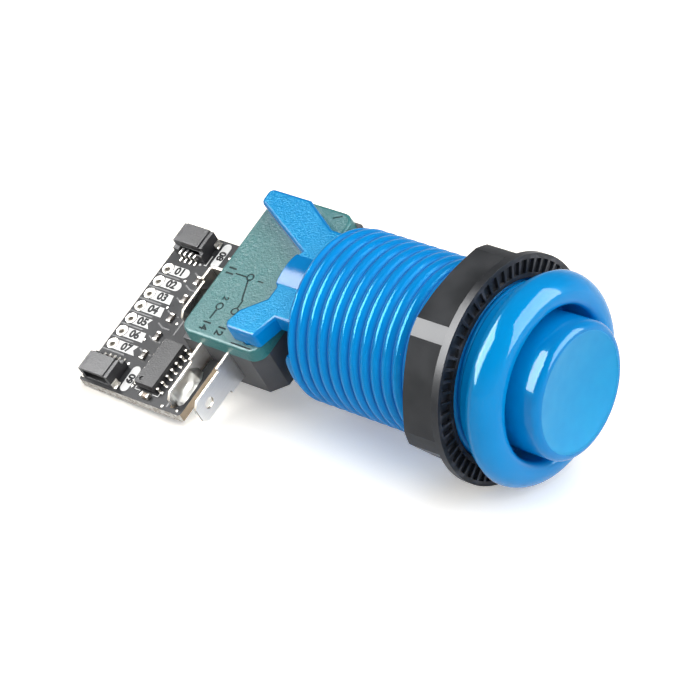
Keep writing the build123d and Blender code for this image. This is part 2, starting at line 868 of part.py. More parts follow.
# Solder fillets in front of the two terminals that stand in the board's slots
with BuildPart() as solder_joints:
    for tab_z, tab_start, tab_stop in (
        (open_terminal_z, tab_tip_x, -switch_end - terminal_root_length),
        (common_tab_z, common_tip_x, common_root_x),
    ):
        with BuildSketch(Plane.YZ.offset(tab_start + terminal_tip_chamfer)):
            with BuildLine():
                face_z = tab_z + terminal_thickness / 2
                top = (board_top + solder_height, face_z)
                toe = (board_top, face_z + solder_reach)
                sag = (board_top + solder_height * solder_sag, face_z + solder_reach * solder_sag)
                ThreePointArc(top, sag, toe)
                Polyline(toe, (board_top, face_z), top)
            make_face()
        extrude(amount=tab_stop - tab_start - terminal_tip_chamfer)
solder_joints.part.label = "solder_joints"

pieces = [
    housing.part,
    plunger.part,
    return_spring.part,
    mounting_nut.part,
    switch_base.part,
    switch_cover.part,
    switch_button.part,
    snap_blade.part,
    moving_contact.part,
    closed_contact.part,
    open_contact.part,
    common_terminal.part,
    normally_open_terminal,
    normally_closed_terminal,
    circuit_board.part,
    socket_shell_upper,
    socket_shell_lower,
    socket_contacts_upper,
    socket_contacts_lower,
    socket_anchors.part,
    controller_body.part,
    controller_leads.part,
    resistor_bodies.part,
    resistor_caps.part,
    capacitor_body.part,
    capacitor_caps.part,
    solder_joints.part,
]
os.makedirs("parts", exist_ok=True)
for piece in pieces:
    export_step(piece, f"parts/{piece.label}.step")
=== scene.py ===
"""Looks of an arcade push button with a microswitch and a circuit board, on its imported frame.

Sizes are in millimetres in the part's own frame and become metres when a mesh is made.
"""

import json
import logging
import math
from collections.abc import Callable, Iterator
from contextlib import contextmanager
from dataclasses import dataclass
from enum import Enum
from functools import cache

import bmesh
import bpy
from bpy.types import ID, Material, Mesh, MeshPolygon, Node, NodeSocket, NodeTree, Object, World
from mathutils import Matrix, Vector

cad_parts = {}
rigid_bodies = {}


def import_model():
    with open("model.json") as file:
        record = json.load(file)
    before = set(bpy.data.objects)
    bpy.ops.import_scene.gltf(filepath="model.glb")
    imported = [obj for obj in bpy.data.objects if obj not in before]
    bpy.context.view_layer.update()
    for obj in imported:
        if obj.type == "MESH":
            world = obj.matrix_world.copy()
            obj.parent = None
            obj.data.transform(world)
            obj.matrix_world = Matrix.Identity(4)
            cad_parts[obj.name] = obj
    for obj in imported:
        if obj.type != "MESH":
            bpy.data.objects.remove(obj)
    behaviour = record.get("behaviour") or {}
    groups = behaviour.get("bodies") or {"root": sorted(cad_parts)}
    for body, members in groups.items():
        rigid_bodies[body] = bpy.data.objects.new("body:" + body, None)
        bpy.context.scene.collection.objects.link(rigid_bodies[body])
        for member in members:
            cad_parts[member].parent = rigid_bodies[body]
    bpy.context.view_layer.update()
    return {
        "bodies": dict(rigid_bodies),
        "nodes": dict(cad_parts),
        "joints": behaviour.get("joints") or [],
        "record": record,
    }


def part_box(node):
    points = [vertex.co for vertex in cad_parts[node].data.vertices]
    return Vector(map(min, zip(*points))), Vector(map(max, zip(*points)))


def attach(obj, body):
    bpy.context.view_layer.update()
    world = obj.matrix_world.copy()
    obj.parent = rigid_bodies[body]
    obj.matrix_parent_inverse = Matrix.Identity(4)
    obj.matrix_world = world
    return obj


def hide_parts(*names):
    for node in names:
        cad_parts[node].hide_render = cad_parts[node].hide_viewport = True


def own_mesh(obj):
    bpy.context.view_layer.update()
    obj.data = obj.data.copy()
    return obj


MM = 0.001
FULL_TURN = 2 * math.pi
AXES_SWAPPED = Matrix(((1, 0, 0, 0), (0, 0, 1, 0), (0, 1, 0, 0), (0, 0, 0, 1)))
MEASURES = ("LENGTH", "DISTANCE", "DOT_PRODUCT")
PEGS = ((11.1, -53.1), (-11.1, -42.8))
BOARD_TOP = -0.35
SUNK = 0.004
log = logging.getLogger("push_button")

Colour = tuple[float, float, float]
Point = tuple[float, float]
Place = tuple[float, float, float]
Sockets = bpy.types.bpy_prop_collection


class Body(Enum):
    """Bodies that new pieces ride on."""

    BASE = "base"
    PLUNGER = "plunger"
    NUT = "nut"


class FlagEnd(Enum):
    """Shapes of a printed flag's free end."""

    ROUND = "round"
    SLANT = "slant"
    FORK = "fork"


class Lamp(Enum):
    """What a lamp does: lights faces, or shows as a bright window in gloss."""

    LIGHT = "light"
    WINDOW = "window"


class NodeSheet:
    """Short calls that fill one node tree."""

    def __init__(self, tree: NodeTree) -> None:
        """Keep the tree that is filled."""
        self.tree = tree

    def feed(self, socket: NodeSocket, value: object) -> None:
        """Link a socket into an input, or set the input to a value.

        Args:
            socket: the input.
            value: an output socket or a plain value.
        """
        if isinstance(value, NodeSocket):
            self.tree.links.new(value, socket)
        else:
            socket.default_value = value

    def add(self, kind: str, inputs: dict | None = None, **settings: object) -> Node:
        """Add a node.

        Args:
            kind: the node's type name.
            inputs: input name or number to a value or a socket.
            settings: the node's own properties.

        Returns:
            The new node.
        """
        node = self.tree.nodes.new(kind)
        for key, value in settings.items():
            setattr(node, key, value)
        for key, value in (inputs or {}).items():
            self.feed(node.inputs[key], value)
        return node

    def place(self) -> NodeSocket:
        """Object coordinates."""
        return self.add("ShaderNodeTexCoord").outputs["Object"]

    def noise(self, at: NodeSocket, scale: object, detail: float, rough: float = 0.5) -> NodeSocket:
        """Height of a noise texture."""
        inputs = {"Vector": at, "Scale": scale, "Detail": detail, "Roughness": rough}
        return self.add("ShaderNodeTexNoise", inputs).outputs[0]

    def math(self, operation: str, *values: object, clamp: bool = False) -> NodeSocket:
        """Result of a math node, held between 0 and 1 where it is clamped."""
        inputs = dict(enumerate(values))
        return self.add("ShaderNodeMath", inputs, operation=operation, use_clamp=clamp).outputs[0]

    def vector(self, operation: str, *values: object) -> NodeSocket:
        """Result of a vector math node, a number where the operation measures."""
        node = self.add("ShaderNodeVectorMath", dict(enumerate(values)), operation=operation)
        return node.outputs["Value" if operation in MEASURES else "Vector"]

    def flat(self, place: NodeSocket) -> NodeSocket:
        """Share of a place that is square to the press axis."""
        return self.vector("MULTIPLY", place, (1.0, 1.0, 0.0))

    def mix(self, factor: object, first: object, second: object) -> NodeSocket:
        """Mix of two colours, where the factor is the second one's share."""
        node = self.add("ShaderNodeMix", {0: factor, 6: first, 7: second}, data_type="RGBA")
        return node.outputs[2]

    def spread(self, value: object, *ends: float) -> NodeSocket:
        """Value mapped from low and high to a new low and high."""
        return self.add("ShaderNodeMapRange", dict(enumerate((value, *ends)))).outputs[0]

    def effect(self, tree: NodeTree, **inputs: float) -> Sockets:
        """Outputs of a node group that is placed with its own values."""
        return self.add("ShaderNodeGroup", inputs, node_tree=tree).outputs


Group = tuple[NodeSheet, Sockets, Sockets]


def rgba(colour: Colour) -> tuple[float, float, float, float]:
    """Linear colour with full opacity."""
    return (*colour, 1.0)


def emptied(owner: Material | World) -> NodeSheet:
    """Clear the nodes of a material or a world.

    Args:
        owner: the material or world.

    Returns:
        The sheet of its empty node tree.
    """
    owner.use_nodes = True
    owner.node_tree.nodes.clear()
    return NodeSheet(owner.node_tree)


def node_group(name: str, kind: str, inputs: dict[str, str], outputs: dict[str, str]) -> Group:
    """Start a node group.

    Args:
        name: the group's name.
        kind: Shader or Geometry.
        inputs: input name to kind, such as Float.
        outputs: output name to kind.

    Returns:
        The sheet, the sockets that bring values in and those that take results.
    """
    tree = bpy.data.node_groups.new(name, f"{kind}NodeTree")
    for way, sockets in (("INPUT", inputs), ("OUTPUT", outputs)):
        for socket, value in sockets.items():
            tree.interface.new_socket(socket, in_out=way, socket_type=f"NodeSocket{value}")
    sheet = NodeSheet(tree)
    return sheet, sheet.add("NodeGroupInput").outputs, sheet.add("NodeGroupOutput").inputs


def shader_group(name: str, inputs: tuple[str, ...], outputs: tuple[str, ...]) -> Group:
    """Start a shader node group with number sockets."""
    sockets = [dict.fromkeys(names, "Float") for names in (inputs, outputs)]
    return node_group(name, "Shader", *sockets)


@cache
def moulded_grain() -> NodeTree:
    """Fine surface grain, and a slow cloud of colour.

    Returns:
        The node group, with outputs Height and Cloud.
    """
    sheet, take, give = shader_group("moulded_grain", ("Scale",), ("Height", "Cloud"))
    place = sheet.place()
    slow = sheet.noise(place, sheet.math("MULTIPLY", take["Scale"], 0.06), 2.0)
    sheet.feed(give["Height"], sheet.noise(place, take["Scale"], 3.0, 0.6))
    sheet.feed(give["Cloud"], sheet.spread(slow, 0.35, 0.65, 0.0, 1.0))
    return sheet.tree


@cache
def dust_specks() -> NodeTree:
    """Sparse small specks.

    Returns:
        The node group, with output Mask.
    """
    sheet, take, give = shader_group("dust_specks", ("Scale", "Amount"), ("Mask",))
    grid = {"Vector": sheet.place(), "Scale": take["Scale"]}
    cells = sheet.add("ShaderNodeTexVoronoi", grid).outputs
    chance = sheet.add("ShaderNodeSeparateColor", {"Color": cells["Color"]}).outputs
    chosen = sheet.math("LESS_THAN", chance[0], take["Amount"])
    size = sheet.math("MULTIPLY", chance[1], 0.16)
    inside = sheet.math("LESS_THAN", cells["Distance"], size)
    sheet.feed(give["Mask"], sheet.math("MULTIPLY", chosen, inside))
    return sheet.tree


@cache
def edge_wear_and_highlight() -> NodeTree:
    """Rubbed outer edges with a painted highlight on them, broken up by noise.

    Returns:
        The node group, with output Mask.
    """
    sheet, take, give = shader_group("edge_wear_and_highlight", ("Amount", "Scale"), ("Mask",))
    point = sheet.add("ShaderNodeNewGeometry").outputs["Pointiness"]
    sharp = sheet.spread(point, 0.52, 0.62, 0.0, 1.0)
    patch = sheet.spread(sheet.noise(sheet.place(), take["Scale"], 4.0), 0.35, 0.6, 0.2, 1.0)
    worn_and_lit = sheet.math("MULTIPLY", sharp, patch)
    sheet.feed(give["Mask"], sheet.math("MULTIPLY", worn_and_lit, take["Amount"], clamp=True))
    return sheet.tree


@cache
def drawn_streaks() -> NodeTree:
    """Fine streaks along X, as rolled strip shows.

    Returns:
        The node group, with outputs Height and Cloud.
    """
    sheet, take, give = shader_group("drawn_streaks", ("Scale",), ("Height", "Cloud"))
    drawn = sheet.add("ShaderNodeMapping", {"Vector": sheet.place(), "Scale": (0.08, 1.0, 1.0)})
    streak = sheet.noise(drawn.outputs[0], take["Scale"], 4.0, 0.65)
    sheet.feed(give["Height"], streak)
    sheet.feed(give["Cloud"], sheet.spread(streak, 0.35, 0.65, 0.0, 1.0))
    return sheet.tree


@dataclass(frozen=True)
class Finish:
    """A moulded, printed or plated finish.

    Colours are linear. Scales are per metre, and grain depth is in millimetres.
    """

    name: str
    colour: Colour
    tint: Colour
    roughness: float
    roughness_spread: float = 0.05
    metallic: float = 0.0
    specular: float = 0.5
    gloss_tint: Colour = (1.0, 1.0, 1.0)
    coat: float = 0.0
    coat_roughness: float = 0.04
    grain_scale: float = 3000.0
    grain_depth: float = 0.004
    # Lighter sharp edges, both rubbing and a painted highlight.
    wear_and_highlight: float = 0.0
    wear_and_highlight_scale: float = 900.0
    wear_and_highlight_colour: Colour = (0.6, 0.6, 0.6)
    dust: float = 0.0
    dust_scale: float = 700.0
    dust_colour: Colour = (0.8, 0.8, 0.8)
    streaks: bool = False

    @cache
    def material(self) -> Material:
        """Make the material once.

        Returns:
            The material of this finish.
        """
        made = bpy.data.materials.new(self.name)
        sheet = emptied(made)
        pattern = drawn_streaks() if self.streaks else moulded_grain()
        grain = sheet.effect(pattern, Scale=self.grain_scale)
        low = max(self.roughness - self.roughness_spread, 0.02)
        high = self.roughness + self.roughness_spread
        plain = sheet.mix(grain["Cloud"], rgba(self.colour), rgba(self.tint))
        relief = {"Height": grain["Height"], "Distance": self.grain_depth * MM, "Strength": 1.0}
        inputs = {
            "Base Color": self.paint(sheet, plain),
            "Roughness": self.dulled(sheet, sheet.spread(grain["Cloud"], 0.0, 1.0, low, high)),
            "Metallic": self.metallic,
            "Specular IOR Level": self.specular,
            "Specular Tint": rgba(self.gloss_tint),
            "Coat Weight": self.coat,
            "Coat Roughness": self.coat_roughness,
            "Normal": sheet.add("ShaderNodeBump", relief).outputs[0],
        }
        surface = sheet.add("ShaderNodeBsdfPrincipled", inputs)
        sheet.add("ShaderNodeOutputMaterial", {"Surface": surface.outputs[0]})
        return made

    def dulled(self, sheet: NodeSheet, roughness: NodeSocket) -> NodeSocket:
        """Roughness of the finish, which a finish with duller places changes."""
        return roughness

    def paint(self, sheet: NodeSheet, colour: NodeSocket) -> NodeSocket:
        """Lay rubbed edges with their painted highlight, and dust, over the plain colour.

        Args:
            sheet: the material's node sheet.
            colour: the plain colour.

        Returns:
            The finished colour.
        """
        # Lighter sharp edges: partly rubbing, partly a painted highlight.
        if self.wear_and_highlight:
            worn_and_lit = sheet.effect(edge_wear_and_highlight(), Amount=self.wear_and_highlight, Scale=self.wear_and_highlight_scale)
            colour = sheet.mix(worn_and_lit["Mask"], colour, rgba(self.wear_and_highlight_colour))
        if self.dust:
            specks = sheet.effect(dust_specks(), Scale=self.dust_scale, Amount=self.dust)
            colour = sheet.mix(specks["Mask"], colour, rgba(self.dust_colour))
        return colour


@dataclass(frozen=True)
class ValleyShadedThreadFinish(Finish):
    """Thread finish: the valleys between the ridges are dull, and darker in colour as painted
    shade.
    """

    # Painted shade: a darker blue laid in the thread's valleys.
    valley_shade_colour: Colour = (0.0, 0.10, 0.42)
    valley_roughness: float = 0.5
    root: float = 12.95
    shoulder: float = 13.3

    def ridge(self, sheet: NodeSheet) -> NodeSocket:
        """Mask of the ridges, from the distance to the press axis."""
        radius = sheet.vector("LENGTH", sheet.flat(sheet.place()))
        return sheet.spread(radius, self.root * MM, self.shoulder * MM, 0.0, 1.0)

    def dulled(self, sheet: NodeSheet, roughness: NodeSocket) -> NodeSocket:
        """Roughness that rises in the valleys."""
        valley = sheet.spread(self.ridge(sheet), 0.0, 1.0, self.valley_roughness, 0.0)
        return sheet.math("ADD", roughness, valley)

    def paint(self, sheet: NodeSheet, colour: NodeSocket) -> NodeSocket:
        """Colour that is darker in the valleys, as painted shade."""
        plain = super().paint(sheet, colour)
        # The valleys take the dark valley colour as painted shade.
        return sheet.mix(self.ridge(sheet), rgba(self.valley_shade_colour), plain)


@dataclass(frozen=True)
class LaminateFinish(Finish):
    """Board finish: lacquer on the flat sides and bare laminate on the cut edges."""

    edge_colour: Colour = (0.30, 0.235, 0.165)
    end_colour: Colour = (0.80, 0.78, 0.73)
    fray_scale: float = 1900.0

    def paint(self, sheet: NodeSheet, colour: NodeSocket) -> NodeSocket:
        """Show laminate where the face isn't level with the board.

        Args:
            sheet: the material's node sheet.
            colour: the lacquer's colour.

        Returns:
            The finished colour.
        """
        normal = sheet.add("ShaderNodeNewGeometry").outputs["True Normal"]
        x, y, _ = sheet.add("ShaderNodeSeparateXYZ", {0: normal}).outputs
        edge = sheet.math("LESS_THAN", sheet.math("ABSOLUTE", y), 0.5)
        end = sheet.math("GREATER_THAN", sheet.math("ABSOLUTE", x), 0.5)
        fray = sheet.noise(sheet.place(), self.fray_scale, 3.0)
        rough = sheet.spread(fray, 0.4, 0.62, 0.0, 0.75)
        pale = sheet.mix(rough, rgba(self.end_colour), rgba(self.edge_colour))
        cut = sheet.mix(end, rgba(self.edge_colour), pale)
        return sheet.mix(edge, super().paint(sheet, colour), cut)


BLUE_SHELL = Finish(
    "blue_gloss", (0.0, 0.262, 0.65), (0.0, 0.243, 0.61), 0.22, 0.02,
    specular=0.12, gloss_tint=(0.0, 0.9, 0.95), coat=0.36, coat_roughness=0.02,
    grain_scale=1800.0, grain_depth=0.0004, dust=0.012,
)
# The barrel's blue is a lighter copy of the bezel's blue, as painted light.
BLUE_THREAD_LIT = ValleyShadedThreadFinish(
    "blue_thread_lit_gloss", (0.0, 0.285, 0.74), (0.0, 0.265, 0.70), 0.17, 0.02,
    specular=0.42, gloss_tint=(0.16, 0.8, 1.0),
    grain_scale=1800.0, grain_depth=0.0004, dust=0.012,
)
BLUE_FORK = Finish(
    "blue_fork_grain", (0.0, 0.265, 0.65), (0.0, 0.235, 0.60), 0.24, 0.06,
    specular=0.35, gloss_tint=(0.12, 0.85, 1.0),
    grain_scale=3200.0, grain_depth=0.085, dust=0.02,
)
BLUE_RIM = Finish(
    "blue_rim_gloss", (0.0, 0.255, 0.66), (0.0, 0.235, 0.62), 0.16, 0.03,
    specular=0.2, grain_scale=3200.0, grain_depth=0.012, dust=0.012,
)
BLUE_CAP = Finish(
    "blue_cap_gloss", (0.0, 0.230, 0.60), (0.0, 0.212, 0.56), 0.22, 0.02,
    specular=0.12, gloss_tint=(0.0, 0.9, 0.95), coat=0.36, coat_roughness=0.025,
    grain_scale=2600.0, grain_depth=0.0005,
)
# The dish's lighter blue is painted light: the same plastic as the cap, made lighter on the dish.
# Its satin roughness is its own.
BLUE_DISH_LIT = Finish(
    "blue_dish_satin_lit", (0.0, 0.285, 0.60), (0.0, 0.265, 0.58), 0.42, 0.03,
    specular=0.5, gloss_tint=(0.35, 0.78, 0.97), grain_scale=5200.0, grain_depth=0.003,
)
# The nut's lighter sharp edges are partly rubbing and partly a painted highlight on its fins.
BLACK_NUT = Finish(
    "black_nut_satin", (0.013, 0.015, 0.018), (0.018, 0.020, 0.024), 0.37, 0.05,
    specular=0.24, grain_scale=3000.0, grain_depth=0.004,
    wear_and_highlight=0.5, wear_and_highlight_colour=(0.12, 0.12, 0.13), dust=0.02, dust_colour=(0.3, 0.3, 0.3),
)
BLACK_BASE = Finish(
    "black_base_satin", (0.080, 0.081, 0.084), (0.098, 0.099, 0.103), 0.44, 0.06,
    specular=0.2, grain_scale=3600.0, grain_depth=0.008,
    dust=0.03, dust_colour=(0.25, 0.25, 0.25),
)
GREEN_COVER = Finish(
    "green_cover_grain", (0.050, 0.222, 0.222), (0.041, 0.193, 0.194), 0.30, 0.05,
    specular=0.24, grain_scale=3000.0, grain_depth=0.08,
    dust=0.03, dust_colour=(0.4, 0.56, 0.53),
)
SPRING_WIRE = Finish(
    "spring_wire_steel", (0.55, 0.55, 0.56), (0.42, 0.42, 0.43), 0.25, 0.05,
    metallic=1.0, grain_scale=5000.0, grain_depth=0.002,
)
PLATED = Finish(
    "plated_strip", (0.97, 0.96, 0.94), (0.91, 0.90, 0.88), 0.31, 0.03,
    metallic=1.0, grain_scale=4200.0, grain_depth=0.0008, streaks=True,
)
SHEARED = Finish(
    "sheared_edge", (0.34, 0.32, 0.28), (0.27, 0.25, 0.22), 0.42, 0.06,
    metallic=1.0, grain_scale=6000.0, grain_depth=0.002,
)
BLADE_ALLOY = Finish(
    "blade_copper_alloy", (0.72, 0.50, 0.28), (0.64, 0.43, 0.24), 0.28, 0.05,
    metallic=1.0, grain_scale=5000.0, grain_depth=0.001, streaks=True,
)
SILVER_CONTACT = Finish(
    "silver_contact", (0.86, 0.85, 0.82), (0.75, 0.74, 0.71), 0.3, 0.06,
    metallic=1.0, grain_scale=6000.0, grain_depth=0.003,
)
TINNED = Finish(
    "tinned_lead", (0.60, 0.575, 0.53), (0.46, 0.44, 0.40), 0.36, 0.06,
    metallic=1.0, grain_scale=7000.0, grain_depth=0.005,
)
SOLDER = Finish(
    "solder_bright", (0.56, 0.56, 0.54), (0.44, 0.44, 0.42), 0.26, 0.06,
    metallic=1.0, grain_scale=900.0, grain_depth=0.02,
)
BOARD = LaminateFinish(
    "board_lacquer", (0.036, 0.037, 0.040), (0.050, 0.051, 0.054), 0.33, 0.06,
    specular=0.115, grain_scale=2600.0, grain_depth=0.006,
    dust=0.03, dust_colour=(0.22, 0.22, 0.22),
)
SOCKET = Finish(
    "socket_nylon", (0.016, 0.016, 0.018), (0.022, 0.022, 0.025), 0.36, 0.05,
    specular=0.42, grain_scale=3600.0, grain_depth=0.03,
)
CHIP = Finish(
    "chip_moulding", (0.020, 0.020, 0.021), (0.028, 0.028, 0.029), 0.40, 0.06,
    specular=0.28, grain_scale=3600.0, grain_depth=0.045,
)
CERAMIC = Finish(
    "capacitor_tan", (0.34, 0.24, 0.15), (0.27, 0.19, 0.12), 0.5, 0.05,
    grain_scale=7000.0, grain_depth=0.005,
)
RESISTOR = Finish(
    "resistor_black", (0.085, 0.072, 0.060), (0.110, 0.095, 0.080), 0.4, 0.05,
    grain_scale=7000.0, grain_depth=0.005,
)
SILK = Finish(
    "silk_print", (0.90, 0.90, 0.89), (0.84, 0.84, 0.83), 0.55, 0.06,
    grain_scale=7000.0, grain_depth=0.004,
)
# Painted shade: near-black sheets laid on the floors of the engraved grooves.
ENGRAVED_SHADE = Finish(
    "painted_groove_shade", (0.004, 0.022, 0.023), (0.006, 0.030, 0.031), 0.6, 0.05,
    specular=0.1, grain_scale=3400.0, grain_depth=0.01,
)
TRACE = Finish(
    "covered_trace", (0.055, 0.056, 0.060), (0.068, 0.069, 0.072), 0.33, 0.06,
    grain_scale=2600.0, grain_depth=0.006,
)
INK = Finish(
    "print_gap", (0.020, 0.021, 0.023), (0.028, 0.029, 0.031), 0.45, 0.06,
    specular=0.1, grain_scale=7000.0, grain_depth=0.004,
)


def arc(centre: Point, radius: float, start: float, end: float, steps: int) -> list[Point]:
    """Points on an arc from one angle in degrees to another, both ends included."""
    angles = [math.radians(start + (end - start) * step / steps) for step in range(steps + 1)]
    return [(centre[0] + radius * math.cos(a), centre[1] + radius * math.sin(a)) for a in angles]


def circle(centre: Point, radius: float, count: int) -> list[Point]:
    """Points round a circle."""
    return arc(centre, radius, 0, 360 - 360 / count, count - 1)


def rectangle(x0: float, y0: float, x1: float, y1: float) -> list[Point]:
    """Corners of a rectangle."""
    return [(x0, y0), (x1, y0), (x1, y1), (x0, y1)]


def strip(first: Point, last: Point, half: float, past: float = 0.0) -> list[Point]:
    """Outline of a straight line with a width.

    Args:
        first: one end.
        last: the other end.
        half: half its width.
        past: how far it runs past its ends.

    Returns:
        Closed loop of four points.
    """
    start, end = Vector(first), Vector(last)
    along = (end - start).normalized()
    side = Vector((-along.y, along.x)) * half
    start, end = start - along * past, end + along * past
    return [corner[:] for corner in (start + side, end + side, end - side, start - side)]


@contextmanager
def edited(mesh: Mesh) -> Iterator[bmesh.types.BMesh]:
    """Open a mesh as a working mesh and write it back.

    Args:
        mesh: the mesh.

    Yields:
        The working mesh.
    """
    bm = bmesh.new()
    bm.from_mesh(mesh)
    yield bm
    bm.to_mesh(mesh)
    bm.free()


def skinned(name: str, rows: list[list[Place]], ring: bool = False) -> Mesh:
    """Lay a closed skin over rows of points.

    Args:
        name: the mesh's name.
        rows: closed loops with as many points each, in millimetres.
        ring: whether the last row meets the first. Otherwise both ends are capped.

    Returns:
        The mesh in metres, with outward normals.
    """
    made = bpy.data.meshes.new(name)
    with edited(made) as bm:
        loops = [[bm.verts.new(point) for point in row] for row in rows]
        if ring:
            loops.append(loops[0])
        else:
            bm.faces.new(loops[0])
            bm.faces.new(loops[-1])
        for lower, upper in zip(loops, loops[1:]):
            for a, b, c, d in zip(lower, lower[1:] + lower[:1], upper[1:] + upper[:1], upper):
                if a.co != d.co or b.co != c.co:
                    bm.faces.new((a, b, c, d))
        if ring:
            bmesh.ops.remove_doubles(bm, verts=bm.verts[:], dist=1e-5)
            bmesh.ops.dissolve_degenerate(bm, edges=bm.edges[:], dist=1e-6)
        bmesh.ops.recalc_face_normals(bm, faces=bm.faces[:])
    made.transform(Matrix.Scale(MM, 4))
    return made


def turned(name: str, profile: list[Point], segments: int) -> Mesh:
    """Turn a closed section of radius and height about the press axis.

    Args:
        name: the mesh's name.
        profile: closed loop of radius and height.
        segments: parts of the full turn.

    Returns:
        The turned mesh.
    """
    rows = []
    for step in range(segments):
        angle = FULL_TURN * step / segments
        rows.append([(r * math.cos(angle), r * math.sin(angle), z) for r, z in profile])
    return skinned(name, rows, ring=True)


def plate(name: str, outline: list[Point], low: float, high: float) -> Mesh:
    """Raise an outline in X and Z between two heights along Y."""
    return skinned(name, [[(x, y, z) for x, z in outline] for y in (low, high)])


def pillow(name: str, outline: list[Point], low: float, high: float, edge: float) -> Mesh:
    """Raise an outline in X and Z along Y and round its upper edge.

    Args:
        name: the mesh's name.
        outline: closed loop of x and z.
        low: lower height.
        high: upper height.
        edge: radius of the upper edge.

    Returns:
        The plate.
    """
    loop = [Vector(point) for point in outline]
    after = loop[1:] + loop[:1]
    turn = math.copysign(1.0, sum(a.x * b.y - b.x * a.y for a, b in zip(loop, after)))
    across = [Vector((a.y - b.y, b.x - a.x)).normalized() * turn for a, b in zip(loop, after)]
    before = across[-1:] + across[:-1]
    inward = [(one + two) / (1 + one.dot(two)) for one, two in zip(before, across)]
    bend = arc((edge, high - edge), edge, 180, 90, 6)
    rows = []
    for inset, height in [(0.0, low), *bend]:
        spots = [point + way * inset for point, way in zip(loop, inward)]
        rows.append([(spot.x, height, spot.y) for spot in spots])
    return skinned(name, rows)


def laid(mesh: Mesh, centre: Point = (0.0, 0.0)) -> Mesh:
    """Swap a mesh's Y and Z and move it in X and Z.

    Args:
        mesh: the mesh.
        centre: its new middle in x and z.

    Returns:
        The same mesh.
    """
    mesh.transform(Matrix.Translation((centre[0] * MM, 0.0, centre[1] * MM)) @ AXES_SWAPPED)
    mesh.flip_normals()
    return mesh


def bar(name: str, outline: list[Point], low: float, high: float) -> Mesh:
    """Raise an outline in X and Y between two heights along the press axis."""
    return laid(plate(name, outline, low, high))


def joined(name: str, meshes: list[Mesh]) -> Mesh:
    """Put several meshes into one.

    Args:
        name: the new mesh's name.
        meshes: meshes to join, removed here.

    Returns:
        The joined mesh.
    """
    bm = bmesh.new()
    for mesh in meshes:
        bm.from_mesh(mesh)
        bpy.data.meshes.remove(mesh)
    made = bpy.data.meshes.new(name)
    bm.to_mesh(made)
    bm.free()
    return made


def mirrored(mesh: Mesh) -> Mesh:
    """Copy a mesh to the other side of the switch.

    Args:
        mesh: the mesh to mirror in Y.

    Returns:
        The mirrored copy.
    """
    made = mesh.copy()
    made.transform(Matrix.Diagonal((1, -1, 1, 1)))
    made.flip_normals()
    return made


def held(name: str, data: ID) -> Object:
    """Put data on a working object in the scene.

    Args:
        name: the object's name.
        data: its mesh, curve, lamp or camera.

    Returns:
        The object.
    """
    made = bpy.data.objects.new(name, data)
    bpy.context.scene.collection.objects.link(made)
    return made


def evaluated(holder: Object) -> Mesh:
    """Read an object's mesh with its modifiers and remove the object.

    Args:
        holder: the object.

    Returns:
        The mesh.
    """
    bpy.context.view_layer.update()
    graph = bpy.context.evaluated_depsgraph_get()
    made = bpy.data.meshes.new_from_object(holder.evaluated_get(graph))
    bpy.data.objects.remove(holder)
    return made


def weighted(holder: Object) -> Mesh:
    """Shade an object so that its large faces look flat, and read its mesh.

    Args:
        holder: the object, removed here.

    Returns:
        The mesh.
    """
    normals = holder.modifiers.new("flats", "WEIGHTED_NORMAL")
    normals.weight = 90
    normals.keep_sharp = True
    return evaluated(holder)


def softened(mesh: Mesh, width: float, angle: float = 28.0) -> Mesh:
    """Round a mesh's sharp edges and keep its flat faces flat.

    Args:
        mesh: the mesh.
        width: width of the rounding.
        angle: least turn in degrees that counts as an edge.

    Returns:
        The softened mesh.
    """
    mesh.shade_smooth()
    holder = held("softening", mesh)
    bevel = holder.modifiers.new("edges", "BEVEL")
    bevel.width = width * MM
    bevel.segments = 2
    bevel.limit_method = "ANGLE"
    bevel.angle_limit = math.radians(angle)
    return weighted(holder)


def shaded(mesh: Mesh, angle: float = 30.0) -> Mesh:
    """Shade a mesh smooth, with hard edges above an angle.

    Args:
        mesh: the mesh.
        angle: least turn in degrees that stays hard.

    Returns:
        The same mesh.
    """
    mesh.shade_smooth()
    mesh.set_sharp_from_angle(angle=math.radians(angle))
    return mesh


def flattened(mesh: Mesh, angle: float) -> Mesh:
    """Shade a mesh smooth with its large faces flat and its edges hard above an angle."""
    return weighted(held("flattening", shaded(mesh, angle)))


def carved(mesh: Mesh, cutter: Mesh) -> Mesh:
    """Cut one mesh out of another.

    Args:
        mesh: what is carved.
        cutter: what is taken away.

    Returns:
        The carved mesh.
    """
    holder, tool = held("carving", mesh), held("cutter", cutter)
    cut = holder.modifiers.new("cut", "BOOLEAN")
    cut.operation = "DIFFERENCE"
    cut.solver = "EXACT"
    cut.use_self = True
    cut.object = tool
    made = evaluated(holder)
    bpy.data.objects.remove(tool)
    return made


def grown(name: str, tree: NodeTree, inputs: dict[str, object], start: Mesh | None = None) -> Mesh:
    """Run a geometry node tree and keep its mesh.

    Args:
        name: the mesh's name.
        tree: the geometry node tree.
        inputs: input name to value.
        start: mesh that the tree works on, if it takes one.

    Returns:
        The mesh.
    """
    holder = held(name, start or bpy.data.meshes.new(name))
    modifier = holder.modifiers.new("grow", "NODES")
    modifier.node_group = tree
    for item in tree.interface.items_tree:
        if item.in_out == "INPUT" and item.name in inputs:
            modifier[item.identifier] = inputs[item.name]
    return evaluated(holder)


def geometry_tree(name: str, inputs: dict[str, str]) -> Group:
    """Start a geometry node tree that takes a material beside its other inputs."""
    sockets = {**inputs, "Material": "Material"}
    return node_group(name, "Geometry", sockets, {"Geometry": "Geometry"})


